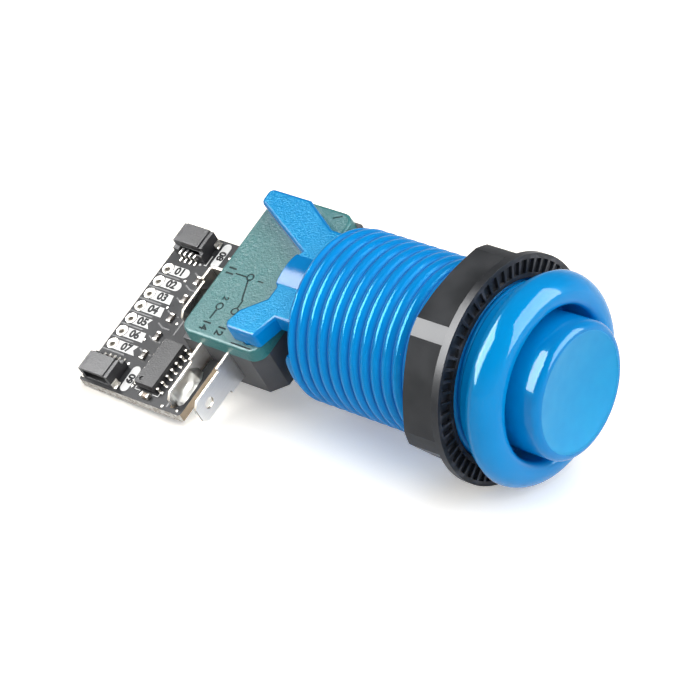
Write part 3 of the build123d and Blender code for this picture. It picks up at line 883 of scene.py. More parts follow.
def closed_tree(group: Group, geometry: NodeSocket) -> NodeTree:
    """End a geometry node tree with real geometry and its material.

    Args:
        group: the tree's sheet and sockets.
        geometry: what was made.

    Returns:
        The finished tree.
    """
    sheet, take, give = group
    real = sheet.add("GeometryNodeRealizeInstances", {0: geometry}).outputs[0]
    inputs = {"Geometry": real, "Material": take["Material"]}
    sheet.feed(give[0], sheet.add("GeometryNodeSetMaterial", inputs).outputs[0])
    return sheet.tree


def thread_tree() -> NodeTree:
    """Wind a rounded ridge into a plain barrel wall.

    Returns:
        The geometry node tree.
    """
    sizes = ("Root", "Depth", "Pitch", "Turn", "Front", "Rear", "Fade")
    inputs = {"Barrel": "Geometry", **dict.fromkeys(sizes, "Float")}
    group = sheet, take, _ = geometry_tree("wound_thread", inputs)
    place = sheet.add("GeometryNodeInputPosition").outputs[0]
    x, y, z = sheet.add("ShaderNodeSeparateXYZ", {0: place}).outputs
    flat = sheet.flat(place)
    turn = sheet.math("DIVIDE", sheet.math("ARCTAN2", y, x), FULL_TURN)
    phase = sheet.math("SUBTRACT", sheet.math("DIVIDE", z, take["Pitch"]), turn)
    angle = sheet.math("MULTIPLY", sheet.math("SUBTRACT", phase, take["Turn"]), FULL_TURN)
    wave = sheet.math("MULTIPLY_ADD", sheet.math("COSINE", angle), 0.5, 0.5)
    height = sheet.math("MULTIPLY", sheet.math("POWER", wave, 0.6), take["Depth"])
    for first, second in ((take["Front"], z), (z, take["Rear"])):
        gap = sheet.math("SUBTRACT", first, second)
        fade = sheet.math("DIVIDE", gap, take["Fade"], clamp=True)
        height = sheet.math("MULTIPLY", height, fade)
    least = sheet.math("MULTIPLY", take["Root"], 0.998)
    wall = sheet.math("GREATER_THAN", sheet.vector("LENGTH", flat), least)
    chosen = sheet.math("MULTIPLY", wall, sheet.math("LESS_THAN", z, take["Front"]))
    push = {0: sheet.vector("NORMALIZE", flat), "Scale": height}
    offset = sheet.add("ShaderNodeVectorMath", push, operation="SCALE").outputs[0]
    inputs = {"Geometry": take["Barrel"], "Selection": chosen, "Offset": offset}
    return closed_tree(group, sheet.add("GeometryNodeSetPosition", inputs).outputs[0])


def row_tree() -> NodeTree:
    """Copies of one small piece in a row.

    Returns:
        The geometry node tree.
    """
    inputs = {"Piece": "Object", "Count": "Int", "Start": "Vector", "Step": "Vector"}
    group = sheet, take, _ = geometry_tree("row_of_pieces", inputs)
    row = {"Count": take["Count"], "Start Location": take["Start"], "Offset": take["Step"]}
    line = sheet.add("GeometryNodeMeshLine", row, mode="OFFSET")
    piece = sheet.add("GeometryNodeObjectInfo", {"Object": take["Piece"], "As Instance": True})
    inputs = {"Points": line.outputs[0], "Instance": piece.outputs["Geometry"]}
    return closed_tree(group, sheet.add("GeometryNodeInstanceOnPoints", inputs).outputs[0])


def coil_tree() -> NodeTree:
    """Round wire wound into a coil that stands on a level.

    Returns:
        The geometry node tree.
    """
    inputs = dict.fromkeys(("Turns", "Radius", "Height", "Wire"), "Float")
    group = sheet, take, _ = geometry_tree("wound_coil", {**inputs, "Seat": "Vector"})
    winding = {
        "Resolution": 48, "Rotations": take["Turns"], "Height": take["Height"], "Reverse": True,
        "Start Radius": take["Radius"], "End Radius": take["Radius"],
    }
    path = sheet.add("GeometryNodeCurveSpiral", winding).outputs[0]
    section = {"Resolution": 14, "Radius": take["Wire"]}
    ring = sheet.add("GeometryNodeCurvePrimitiveCircle", section, mode="RADIUS").outputs[0]
    sweep = {"Curve": path, "Profile Curve": ring, "Fill Caps": True}
    wire = sheet.add("GeometryNodeCurveToMesh", sweep).outputs[0]
    inputs = {"Geometry": wire, "Translation": take["Seat"]}
    return closed_tree(group, sheet.add("GeometryNodeTransform", inputs).outputs[0])


def posed(place: Vector, *axes: Vector) -> Matrix:
    """Matrix of a place and three axes."""
    return Matrix.Translation(place) @ Matrix(axes).transposed().to_4x4()


def lettering(
    text: str, size: float, centre: Place, along: Place, upward: Place, depth: float, weight: float,
) -> Mesh:
    """Raised figures on a level of the part.

    Args:
        text: the figures.
        size: their nominal height.
        centre: middle of the line of figures.
        along: reading direction.
        upward: direction of the figures' tops.
        depth: half their thickness.
        weight: how much bolder they are drawn, as a share of the size.

    Returns:
        The figures.
    """
    curve = bpy.data.curves.new("figures", "FONT")
    curve.body = text
    curve.size = size * MM
    curve.align_x, curve.align_y = "CENTER", "CENTER"
    curve.extrude = depth * MM
    curve.offset = weight * size * MM
    curve.resolution_u = 3
    made = evaluated(held("figures", curve))
    side, up = Vector(along), Vector(upward)
    made.transform(posed(Vector(centre) * MM, side, up, side.cross(up)))
    with edited(made) as bm:
        bmesh.ops.remove_doubles(bm, verts=bm.verts[:], dist=1e-7)
    return made


def cad_copy(frame: dict, node: str) -> Mesh:
    """Copy a frame node's mesh with its flat faces made whole.

    Args:
        frame: the loaded frame.
        node: the node's name.

    Returns:
        The copy.
    """
    bm = bmesh.new()
    bm.from_mesh(frame["nodes"][node].data)
    bmesh.ops.remove_doubles(bm, verts=bm.verts[:], dist=0.002 * MM)
    level = math.radians(0.6)
    bmesh.ops.dissolve_limit(bm, angle_limit=level, verts=bm.verts[:], edges=bm.edges[:])
    bm.verts.index_update()
    faces = [[vert.index for vert in face.verts] for face in bm.faces]
    made = bpy.data.meshes.new(node)
    made.from_pydata([vert.co[:] for vert in bm.verts], [], faces)
    bm.free()
    return made


def set_piece(
    name: str, mesh: Mesh, finish: Finish,
    nodes: tuple[str, ...] = (), body: Body = Body.BASE,
) -> Object:
    """Make a finished piece, set it on its body and hide the frame nodes that it replaces.

    Args:
        name: the piece's name.
        mesh: its mesh, in metres.
        finish: its finish.
        nodes: frame nodes that it replaces.
        body: the body it rides on.

    Returns:
        The piece.
    """
    mesh.name = name
    mesh.materials.clear()
    mesh.materials.append(finish.material())
    made = held(name, mesh)
    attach(made, body.value)
    if nodes:
        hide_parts(*nodes)
    log.info("%s: %d faces in %s on %s", name, len(mesh.polygons), finish.name, body.value)
    return made


def soft_copy(
    frame: dict, node: str, name: str, width: float, finish: Finish,
) -> Object:
    """Put a copy with softened edges in a frame node's place.

    Args:
        frame: the loaded frame.
        node: the node's name.
        name: the piece's name.
        width: width of the rounding.
        finish: its finish.

    Returns:
        The piece.
    """
    return set_piece(name, softened(cad_copy(frame, node), width), finish, (node,))


def second_finish(piece: Object, finish: Finish, chosen: Callable[[MeshPolygon], bool]) -> None:
    """Give some of a piece's faces another finish.

    Args:
        piece: the piece.
        finish: the other finish.
        chosen: tells whether a face takes that finish.
    """
    piece.data.materials.append(finish.material())
    for face in piece.data.polygons:
        face.material_index = int(chosen(face))


def dress_node(frame: dict, node: str, finish: Finish) -> None:
    """Give a frame node that stays its finish.

    Args:
        frame: the loaded frame.
        node: the node's name.
        finish: its finish.
    """
    kept = frame["nodes"][node]
    kept.data.materials.clear()
    kept.data.materials.append(finish.material())
    log.info("%s: kept in %s", node, finish.name)


@dataclass
class Housing:
    """Bezel, threaded barrel and the two forks that hold the switch."""

    bezel_radius: float = 16.1
    bezel_height: float = 4.6
    bezel_round: float = 3.4
    rim_chamfer: float = 0.8
    rim_round: float = 0.35
    lip_round: float = 1.1
    seat_radius: float = 14.0
    undercut: float = 0.3
    root_radius: float = 12.95
    crest_radius: float = 13.6
    thread_pitch: float = 2.0
    thread_fade: float = 0.9
    thread_level: float = -0.4
    barrel_end: float = -35.2
    end_chamfer: float = 0.3
    floor_top: float = -33.0
    stem_hole: float = 3.6
    bore_radius: float = 10.8
    well_radius: float = 11.6
    well_floor: float = -1.5
    groove_start: float = 9.0
    groove_reach: float = 11.9
    groove_width: float = 5.2
    groove_top: float = -6.0
    groove_bottom: float = -11.0
    collar_radius: float = 13.55
    collar_rear: float = -2.6
    collar_round: float = 0.4
    columns: int = 200
    rows_per_pitch: int = 16
    fork_bottom: float = 5.2
    fork_top: float = 8.1
    fork_edge: float = 0.58
    fork_root: float = -34.7
    throat: Point = (0.0, -35.5)
    throat_radius: float = 7.6
    front_inner: tuple[Point, ...] = ((-5.65, -42.25), (-8.85, -45.5))
    front_tip: Point = (-11.05, -44.9)
    front_tip_radius: float = 1.38
    front_heel: Point = (-11.85, -40.6)
    front_heel_radius: float = 0.6
    front_side: float = -8.4
    front_neck: float = -38.8
    rear_side: float = 8.7
    rear_outer: tuple[Point, ...] = ((8.7, -39.9), (12.45, -46.7))
    rear_tip: tuple[Point, Point] = ((11.5, -53.85), (10.35, -53.85))
    rear_tip_radius: float = 0.95
    hub_radius: float = 8.6
    hub_half: float = 3.2
    hub_bottom: float = 7.0
    hub_rear: float = -42.7
    hub_edge: float = 0.25
    peg_radius: float = 1.45
    peg_length: float = 2.0
    peg_root: float = 0.5
    tail_angle: float = 158.0
    tail_span: float = 78.0
    tail_drop: float = 0.8
    tail_swell: float = 0.45
    tail_radius: float = 12.85
    tail_inner: float = 12.3
    tail_parts: int = 28

    def section(self) -> list[Point]:
        """Section of the bezel and barrel.

        Returns:
            Closed loop of radius and height.
        """
        crown = self.bezel_radius - self.bezel_round
        rim = self.bezel_radius - self.rim_chamfer
        bend = self.collar_round
        return [
            (rim, 0.0),
            *arc((rim, self.rim_round), self.rim_round, -60, -10, 3),
            *arc((crown, self.bezel_height - self.bezel_round), self.bezel_round, 0, 90, 18),
            *arc((crown, self.bezel_height - self.lip_round), self.lip_round, 90, 180, 8)[1:],
            (self.well_radius, self.well_floor),
            (self.bore_radius, self.well_floor),
            (self.bore_radius, self.floor_top),
            (self.stem_hole, self.floor_top),
            (self.stem_hole, self.barrel_end),
            (self.root_radius - self.end_chamfer, self.barrel_end),
            (self.root_radius, self.barrel_end + self.end_chamfer),
            (self.root_radius, self.collar_rear),
            *arc((self.collar_radius - bend, self.collar_rear + bend), bend, -90, 0, 5),
            (self.collar_radius, self.undercut),
            (self.seat_radius, self.undercut),
            (self.seat_radius, 0.0),
        ]

    def wound_wall(self, mesh: Mesh) -> Mesh:
        """Put a barrel wall whose rows follow the thread in place of the plain one.

        Args:
            mesh: the shell with its plain wall.

        Returns:
            The same shell with the finer wall.
        """
        low, high = (self.barrel_end + self.end_chamfer) * MM, self.collar_rear * MM
        root, pitch = self.root_radius * MM, self.thread_pitch * MM
        row = pitch / self.rows_per_pitch
        steps = range(math.ceil((high - low + pitch) / row) + 1)
        with edited(mesh) as bm:
            plain = []
            for face in bm.faces:
                if all(abs(vert.co.xy.length - root) < 1e-6 for vert in face.verts):
                    plain.append(face)
            bmesh.ops.delete(bm, geom=plain, context="FACES")
            grid = []
            for column in range(self.columns + 1):
                turn = column / self.columns
                x, y = root * math.cos(FULL_TURN * turn), root * math.sin(FULL_TURN * turn)
                heights = [low + pitch * (turn - 1.0) + row * step for step in steps]
                grid.append([bm.verts.new((x, y, min(max(z, low), high))) for z in heights])
            for here, there in zip(grid, grid[1:]):
                for a, b, c, d in zip(here, here[1:], there[1:], there):
                    if max(b.co.z - a.co.z, c.co.z - d.co.z) > 0.0:
                        bm.faces.new((a, b, c, d))
            bmesh.ops.remove_doubles(bm, verts=bm.verts[:], dist=2e-7)
            bmesh.ops.dissolve_degenerate(bm, edges=bm.edges[:], dist=2e-7)
            bmesh.ops.recalc_face_normals(bm, faces=bm.faces[:])
        return mesh

    def fork_outline(self, front_arm: bool) -> list[Point]:
        """Outline of one fork with its rounded arm tips.

        Args:
            front_arm: whether it has the arm at the switch's terminal end.

        Returns:
            Closed loop of x and z.
        """
        outer, inner = self.rear_tip
        front = [
            *self.front_inner,
            *arc(self.front_tip, self.front_tip_radius, 262, 180, 8),
            *arc(self.front_heel, self.front_heel_radius, 180, 100, 4),
        ]
        return [
            *arc(self.throat, self.throat_radius, -62, -118, 12),
            *(front if front_arm else []),
            (self.front_side, self.front_neck),
            (self.front_side, self.fork_root),
            (self.rear_side, self.fork_root),
            *self.rear_outer,
            *arc(outer, self.rear_tip_radius, 0, -90, 5),
            *arc(inner, self.rear_tip_radius, -90, -155, 4),
        ]

    def fork(self, front_arm: bool) -> Mesh:
        """One fork: plate, rounded hub and its pegs.

        Args:
            front_arm: whether it has the arm at the switch's terminal end.

        Returns:
            The fork on the switch cover's side.
        """
        bottom, top = self.fork_bottom, self.fork_top
        outline = self.fork_outline(front_arm)
        arms = flattened(pillow("fork_plate", outline, bottom, top, self.fork_edge), 35.0)
        half = math.degrees(math.acos(top / self.hub_radius))
        bulge = arc((0.0, 0.0), self.hub_radius, 90 - half, 90 + half, 16)
        foot = [(-self.hub_half, self.hub_bottom), (self.hub_half, self.hub_bottom)]
        hub = softened(bar("hub", [*bulge, *foot], self.hub_rear, self.fork_root), self.hub_edge)
        pegs = []
        for spot in PEGS if front_arm else PEGS[:1]:
            ring = circle(spot, self.peg_radius, 24)
            peg = plate("peg", ring, bottom - self.peg_length, bottom + self.peg_root)
            pegs.append(shaded(peg))
        return joined("fork", [arms, hub, *pegs])

    def tail(self) -> Mesh:
        """Start of the thread, standing past the barrel's rear end.

        Returns:
            The tail, which sinks back into the end.
        """
        end, inner, outer = self.barrel_end, self.tail_inner, self.tail_radius
        rows = []
        for step in range(self.tail_parts + 1):
            share = step / self.tail_parts
            angle = math.radians(self.tail_angle + self.tail_span * share)
            drop = self.tail_drop * min(1.0, 0.25 + share * 14) * (1 - share) ** 1.3
            swell = self.tail_swell * (1 - share) ** 0.7
            low, base = end - drop, end + 1.2
            section = [
                (inner, base), (inner, low), (outer - 0.1, low),
                (outer - 0.05 + swell * 0.6, low + 0.12), (outer + swell, low + 0.45),
                (outer + swell, end + 0.4), (outer + 0.05, base),
            ]
            rows.append([(r * math.cos(angle), r * math.sin(angle), z) for r, z in section])
        return shaded(skinned("tail", rows), 50.0)

    def build(self) -> None:
        """Make the shell, its thread and the forks in place of the housing."""
        half = self.groove_width / 2
        grooves = []
        for side in (1, -1):
            reach = rectangle(side * self.groove_start, -half, side * self.groove_reach, half)
            grooves.append(bar("groove", reach, self.groove_bottom, self.groove_top))
        shell = carved(turned("shell", self.section(), self.columns), joined("grooves", grooves))
        winding = {
            "Root": self.root_radius * MM,
            "Depth": (self.crest_radius - self.root_radius) * MM,
            "Pitch": self.thread_pitch * MM,
            "Turn": self.tail_angle / 360,
            "Front": self.collar_rear * MM,
            "Rear": self.barrel_end * MM,
            "Fade": self.thread_fade * MM,
            "Material": BLUE_SHELL.material(),
        }
        wound = shaded(grown("shell", thread_tree(), winding, self.wound_wall(shell)), 38.0)
        forks = joined("forks", [mirrored(self.fork(False)), self.fork(True)])
        slot, nodes = "blue_shell", ("housing",)
        made = set_piece("housing_shell", wound, BLUE_SHELL, nodes)
        # Below the collar the wall takes the thread blue: lighter than the bezel's as painted
        # light, with painted shade in the valleys.
        second_finish(made, BLUE_THREAD_LIT, lambda face: face.center.z < self.thread_level * MM)
        set_piece("thread_tail", self.tail(), BLUE_SHELL, nodes)
        made = set_piece("switch_forks", forks, BLUE_FORK, nodes)
        level = (self.fork_top + 0.05) * MM
        second_finish(
            made, BLUE_RIM, lambda face: abs(face.normal.y) < 0.985 or abs(face.center.y) > level,
        )


@dataclass
class Plunger:
    """Dished cap with its skirt, hooks, stem and return spring."""

    cap_radius: float = 10.4
    cap_top: float = 8.6
    edge_radius: float = 1.2
    dish_depth: float = 1.1
    ceiling: float = 5.9
    skirt_inner: float = 9.0
    skirt_bottom: float = -8.0
    stem_radius: float = 3.2
    stem_end: float = -37.55
    collar_radius: float = 6.8
    collar_top: float = -12.5
    collar_bottom: float = -14.0
    hook_start: float = 9.6
    hook_radius: float = 11.5
    hook_width: float = 4.4
    hook_top: float = -6.2
    hook_edge: float = 0.2
    travel: float = 2.4
    coil_radius: float = 5.2
    coil_turns: float = 5.0
    wire_radius: float = 0.4
    segments: int = 160

    def section(self) -> list[Point]:
        """Section of the cap and stem.

        Returns:
            Closed loop of radius and height.
        """
        rim = self.cap_radius - self.edge_radius
        dish = (rim**2 + self.dish_depth**2) / (2 * self.dish_depth)
        half = math.degrees(math.asin(rim / dish))
        return [
            *arc((0.0, self.cap_top - self.dish_depth + dish), dish, 270, 270 + half, 14),
            *arc((rim, self.cap_top - self.edge_radius), self.edge_radius, 102, 0, 10),
            (self.cap_radius, self.skirt_bottom),
            (self.skirt_inner, self.skirt_bottom),
            (self.skirt_inner, self.ceiling),
            (self.stem_radius, self.ceiling),
            (self.stem_radius, self.collar_top),
            (self.collar_radius, self.collar_top),
            (self.collar_radius, self.collar_bottom),
            (self.stem_radius, self.collar_bottom),
            (self.stem_radius, self.stem_end),
            (0.0, self.stem_end),
        ]

    def build(self) -> None:
        """Make the cap with its hooks in place of the plunger."""
        half = self.hook_width / 2
        parts = [shaded(turned("cap", self.section(), self.segments), 40.0)]
        for side in (1, -1):
            reach = rectangle(side * self.hook_start, -half, side * self.hook_radius, half)
            hook = bar("hook", reach, self.skirt_bottom, self.hook_top)
            parts.append(softened(hook, self.hook_edge))
        cap = joined("cap", parts)
        made = set_piece("plunger_cap", cap, BLUE_CAP, ("plunger",), Body.PLUNGER)
        # The dish takes the lighter blue, as painted light.
        rim, floor = (self.cap_radius - self.edge_radius) * MM, (self.ceiling + 1.0) * MM
        second_finish(
            made, BLUE_DISH_LIT, lambda face: face.center.xy.length < rim and face.center.z > floor,
        )

    def coil(self) -> None:
        """Make the return spring."""
        low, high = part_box("return_spring")
        wire, tall = self.wire_radius * MM, high.z - low.z
        winding = {
            "Turns": self.coil_turns,
            "Radius": self.coil_radius * MM,
            "Height": tall - 2 * wire,
            "Wire": wire,
            "Seat": (0.0, 0.0, low.z + wire),
            "Material": SPRING_WIRE.material(),
        }
        mesh = shaded(grown("coil", coil_tree(), winding), 50.0)
        made = set_piece("return_coil", mesh, SPRING_WIRE, ("return_spring",))
        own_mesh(made)


@dataclass
class MountingNut:
    """Six-sided nut with a flange and a ring of pockets."""

    edge: float = 0.09
    edge_angle: float = 34.0
    outer_edge: float = 0.35
    outer_angle: float = 25.0
    outer_radius: float = 15.2

    def rounded(self, mesh: Mesh) -> Mesh:
        """Round the sharp edges that lie outside a radius about the press axis.

        Args:
            mesh: the nut.

        Returns:
            The same mesh.
        """
        least, inner = math.radians(self.outer_angle), self.outer_radius * MM
        with edited(mesh) as bm:
            chosen = []
            for edge in bm.edges:
                outside = all(math.hypot(vert.co.x, vert.co.y) > inner for vert in edge.verts)
                if outside and edge.is_manifold and edge.calc_face_angle(0.0) > least:
                    chosen.append(edge)
            bmesh.ops.bevel(
                bm, geom=chosen, offset=self.outer_edge * MM, segments=3, profile=0.5,
                affect="EDGES", clamp_overlap=True,
            )
        return mesh

    def build(self, frame: dict) -> None:
        """Round the nut's outer edges and soften the rest."""
        nut = softened(self.rounded(cad_copy(frame, "mounting_nut")), self.edge, self.edge_angle)
        set_piece("panel_nut", nut, BLACK_NUT, ("mounting_nut",), Body.NUT)


@dataclass
class Microswitch:
    """Switch base, engraved cover, button, contacts and terminals."""

    length: float = 27.8
    depth: float = 15.9
    front: float = -40.0
    cover_seat: float = 2.9
    cover_top: float = 5.15
    cover_draft: float = 0.127
    corner: float = 2.2
    edge_round: float = 0.5
    hole_radius: float = 1.55
    groove_half: float = 0.14
    groove_depth: float = 0.2
    shade_rise: Point = (-0.02, 0.13)
    ring_radius: float = 0.56
    base_edge: float = 0.1
    strip_edge: float = 0.09
    cut_levels: Point = (2.0, 6.0)
    notch_levels: Point = (2.0, 3.1)
    notches: tuple[tuple[float, float, float, float], ...] = (
        (-15.4, -46.95, -12.4, -46.35), (-15.4, -52.4, -12.4, -51.8), (-1.3, -57.4, -0.7, -54.4),
    )
    strokes: tuple[tuple[Point, Point], ...] = (
        ((-1.95, -52.7), (-1.95, -50.75)),
        ((-2.4, -49.95), (-5.9, -48.65)),
        ((-5.95, -48.42), (-7.35, -48.45)),
        ((-8.75, -51.6), (-10.4, -51.72)),
        ((-13.15, -45.4), (-13.15, -41.7)),
        ((12.9, -51.6), (12.9, -48.4)),
        ((12.2, -43.4), (12.9, -42.2)),
    )
    rings: tuple[Point, ...] = ((-1.8, -49.95), (-8.05, -51.55), (-8.05, -48.5))
    figures: tuple[tuple[str, float, float, float], ...] = (
        ("1", 1.5, -2.0, -47.8), ("2", 1.5, -6.5, -51.5),
        ("11", 2.0, -1.75, -53.95), ("14", 2.0, -11.75, -51.75), ("12", 2.0, -11.85, -48.65),
    )
    figure_weight: float = 0.035

    def cover_loop(self, inset: float) -> list[Point]:
        """Rounded outline of the cover.

        Args:
            inset: how far inside the seat's outline.

        Returns:
            Closed loop of x and z.
        """
        r = self.corner - min(inset, 0.9)
        x = self.length / 2 - inset - r
        low, high = self.front - self.depth + inset + r, self.front - inset - r
        corners = ((x, high, 90), (x, low, 0), (-x, low, -90), (-x, high, -180))
        return [spot for a, b, turn in corners for spot in arc((a, b), r, turn, turn - 90, 8)]

    def cover_mesh(self) -> Mesh:
        """Drafted cover with a rounded top edge.

        Returns:
            The cover before it is carved.
        """
        edge, top = self.edge_round, self.cover_top - self.edge_round
        bend = arc((self.cover_draft + edge, top), edge, 180, 90, 5)
        rows = []
        for inset, y in [(0.0, self.cover_seat), *bend]:
            rows.append([(x, y, z) for x, z in self.cover_loop(inset)])
        return skinned("cover", rows)

    def ring(self, centre: Point, low: float, high: float) -> Mesh:
        """One engraved ring between two heights."""
        inner, outer = self.ring_radius - self.groove_half, self.ring_radius + self.groove_half
        return laid(turned("ring", rectangle(inner, low, outer, high), 28), centre)

    def marks(self, low: float, high: float) -> Mesh:
        """Circuit and plain numbers of the engraving between two heights.

        Args:
            low: lower height.
            high: upper height.

        Returns:
            All marks in one mesh.
        """
        half, middle, depth = self.groove_half, (low + high) / 2, (high - low) / 2
        made = [plate("stroke", strip(*ends, half, half), low, high) for ends in self.strokes]
        made += [self.ring(centre, low, high) for centre in self.rings]
        for text, size, x, z in self.figures:
            where = (x, middle, z), (-1, 0, 0), (0, 0, 1)
            made.append(lettering(text, size, *where, depth, self.figure_weight))
        return joined("marks", made)

    def cover_cutters(self) -> Mesh:
        """Cutters for the cover's holes, terminal notches and engraved circuit.

        Returns:
            All cutters in one mesh.
        """
        loops = [circle(spot, self.hole_radius, 36) for spot in PEGS]
        holes = [plate("hole", loop, *self.cut_levels) for loop in loops]
        notches = [plate("notch", rectangle(*box), *self.notch_levels) for box in self.notches]
        marks = self.marks(self.cover_top - self.groove_depth, self.cover_top + 0.3)
        return joined("cutters", [*holes, *notches, marks])

    def build(self, frame: dict) -> None:
        """Make the switch's outer pieces and dress its inner ones.

        Args:
            frame: the loaded frame.
        """
        cover = flattened(carved(self.cover_mesh(), self.cover_cutters()), 24.0)
        set_piece("cover_plate", cover, GREEN_COVER, ("switch_cover",))
        # Near-black sheets just above the groove floors: painted shade in the engraving.
        low, high = (self.cover_top - self.groove_depth + rise for rise in self.shade_rise)
        set_piece("cover_marks", self.marks(low, high), ENGRAVED_SHADE)
        soft_copy(frame, "switch_base", "base_tray", self.base_edge, BLACK_BASE)
        for node in ("normally_closed_terminal", "normally_open_terminal", "common_terminal"):
            name = node.replace("terminal", "spade")
            spade = soft_copy(frame, node, name, self.strip_edge, PLATED)
            second_finish(spade, SHEARED, lambda face: abs(face.normal.z) < 0.8)
        dress_node(frame, "switch_button", BLACK_BASE)
        dress_node(frame, "snap_blade", BLADE_ALLOY)
        for node in ("moving_contact", "closed_contact", "open_contact"):
            dress_node(frame, node, SILVER_CONTACT)


@dataclass
class CircuitBoard:
    """Board with its sockets, chip, small parts and solder."""

    top: float = BOARD_TOP
    slot_count: int = 4
    slot_pitch: float = 1.0
    slot_half: float = 0.31
    slot_depth: float = 0.72
    slot_levels: Point = (0.1, 1.55)
    dimple_radius: float = 0.38
    dimple_depth: float = 0.25
    dimple_inset: float = 0.95
    case_edge: float = 0.08
    chip_edge: float = 0.09
    chip_angle: float = 5.0
    tin_edge: float = 0.05
    body_edge: float = 0.04
    solder_runs: tuple[tuple[float, float, float, float], ...] = (
        (-23.3, -16.7, -51.85, 2.5), (-9.7, -3.5, -59.4, 2.4),
    )
    solder_reach: float = 1.25
    solder_parts: int = 44
    solder_across: int = 12
    tinned: tuple[str, ...] = (
        "socket_contacts_upper", "socket_contacts_lower", "socket_anchors",
        "controller_leads", "resistor_caps", "capacitor_caps",
    )

    def comb(self, node: str, way: int) -> Mesh:
        """Cutters for the slots behind a socket.

        Args:
            node: the socket's frame node.
            way: 1 where the mouth faces +X, -1 where it faces -X.

        Returns:
            All cutters in one mesh.
        """
        low, high = (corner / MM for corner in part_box(node))
        back = low.x if way > 0 else high.x
        start, end = sorted((back - way * 0.2, back + way * self.slot_depth))
        first = (low.z + high.z - self.slot_pitch * (self.slot_count - 1)) / 2
        cutters = []
        for index in range(self.slot_count):
            z = first + self.slot_pitch * index
            loop = rectangle(start, z - self.slot_half, end, z + self.slot_half)
            cutters.append(plate("slot", loop, *self.slot_levels))
        return joined("comb", cutters)

    def chip(self, frame: dict) -> Mesh:
        """Chip's case with a dimple at its first lead.

        Args:
            frame: the loaded frame.

        Returns:
            The case.
        """
        low, high = (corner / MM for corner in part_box("controller_body"))
        spot = (low.x + self.dimple_inset, low.z + self.dimple_inset)
        ring = circle(spot, self.dimple_radius, 24)
        dimple = plate("dimple", ring, high.y - self.dimple_depth, high.y + 0.2)
        case = carved(cad_copy(frame, "controller_body"), dimple)
        return softened(case, self.chip_edge, self.chip_angle)

    def solder(self, start: float, end: float, face: float, height: float) -> Mesh:
        """Uneven solder fillet between a terminal's face and the board.

        Args:
            start: first x.
            end: last x.
            face: z of the terminal's face.
            height: rise above the board.

        Returns:
            The fillet.
        """
        rows = []
        for step in range(self.solder_parts + 1):
            share = step / self.solder_parts
            x = start + (end - start) * share
            swell = min(1.0, 0.35 + share * 9) * min(1.0, 0.3 + (1 - share) * 3.2)
            wave = 0.05 * math.sin(8 * share + 1) + 0.03 * math.sin(21 * share)
            rise = height * min(1.0, swell + wave)
            reach = self.solder_reach * min(1.0, swell**0.6 - wave)
            row = []
            for index in range(self.solder_across + 1):
                part = index / self.solder_across
                lump = 0.06 * math.sin(5 * share + 7 * part)
                lump += 0.03 * math.sin(9 * share - 5 * part + 2)
                fall = lump * math.sin(math.pi * part)
                y = self.top + rise * (1 - part) ** 1.25 + fall
                z = face + reach * part**1.25 + fall
                row.append((x, max(y, self.top), max(z, face)))
            rows.append([*row, (x, self.top, face)])
        return shaded(skinned("fillet", rows), 60.0)

    def build(self, frame: dict) -> None:
        """Make the board's parts and dress the board.

        Args:
            frame: the loaded frame.
        """
        dress_node(frame, "circuit_board", BOARD)
        for node, way in (("socket_shell_upper", 1), ("socket_shell_lower", -1)):
            case = softened(carved(cad_copy(frame, node), self.comb(node, way)), self.case_edge)
            set_piece(node.replace("shell", "case"), case, SOCKET, (node,))
        for node in self.tinned:
            soft_copy(frame, node, node + "_tin", self.tin_edge, TINNED)
        set_piece("controller_case", self.chip(frame), CHIP, ("controller_body",))
        for node, name, finish, slot in (
            ("resistor_bodies", "resistor_film", RESISTOR, "chip_plastic"),
            ("capacitor_body", "capacitor_ceramic", CERAMIC, "tan_ceramic"),
        ):
            soft_copy(frame, node, name, self.body_edge, finish)
        solder = joined("solder", [self.solder(*run) for run in self.solder_runs])
        set_piece("solder_fillets", solder, SOLDER, ("solder_joints",))


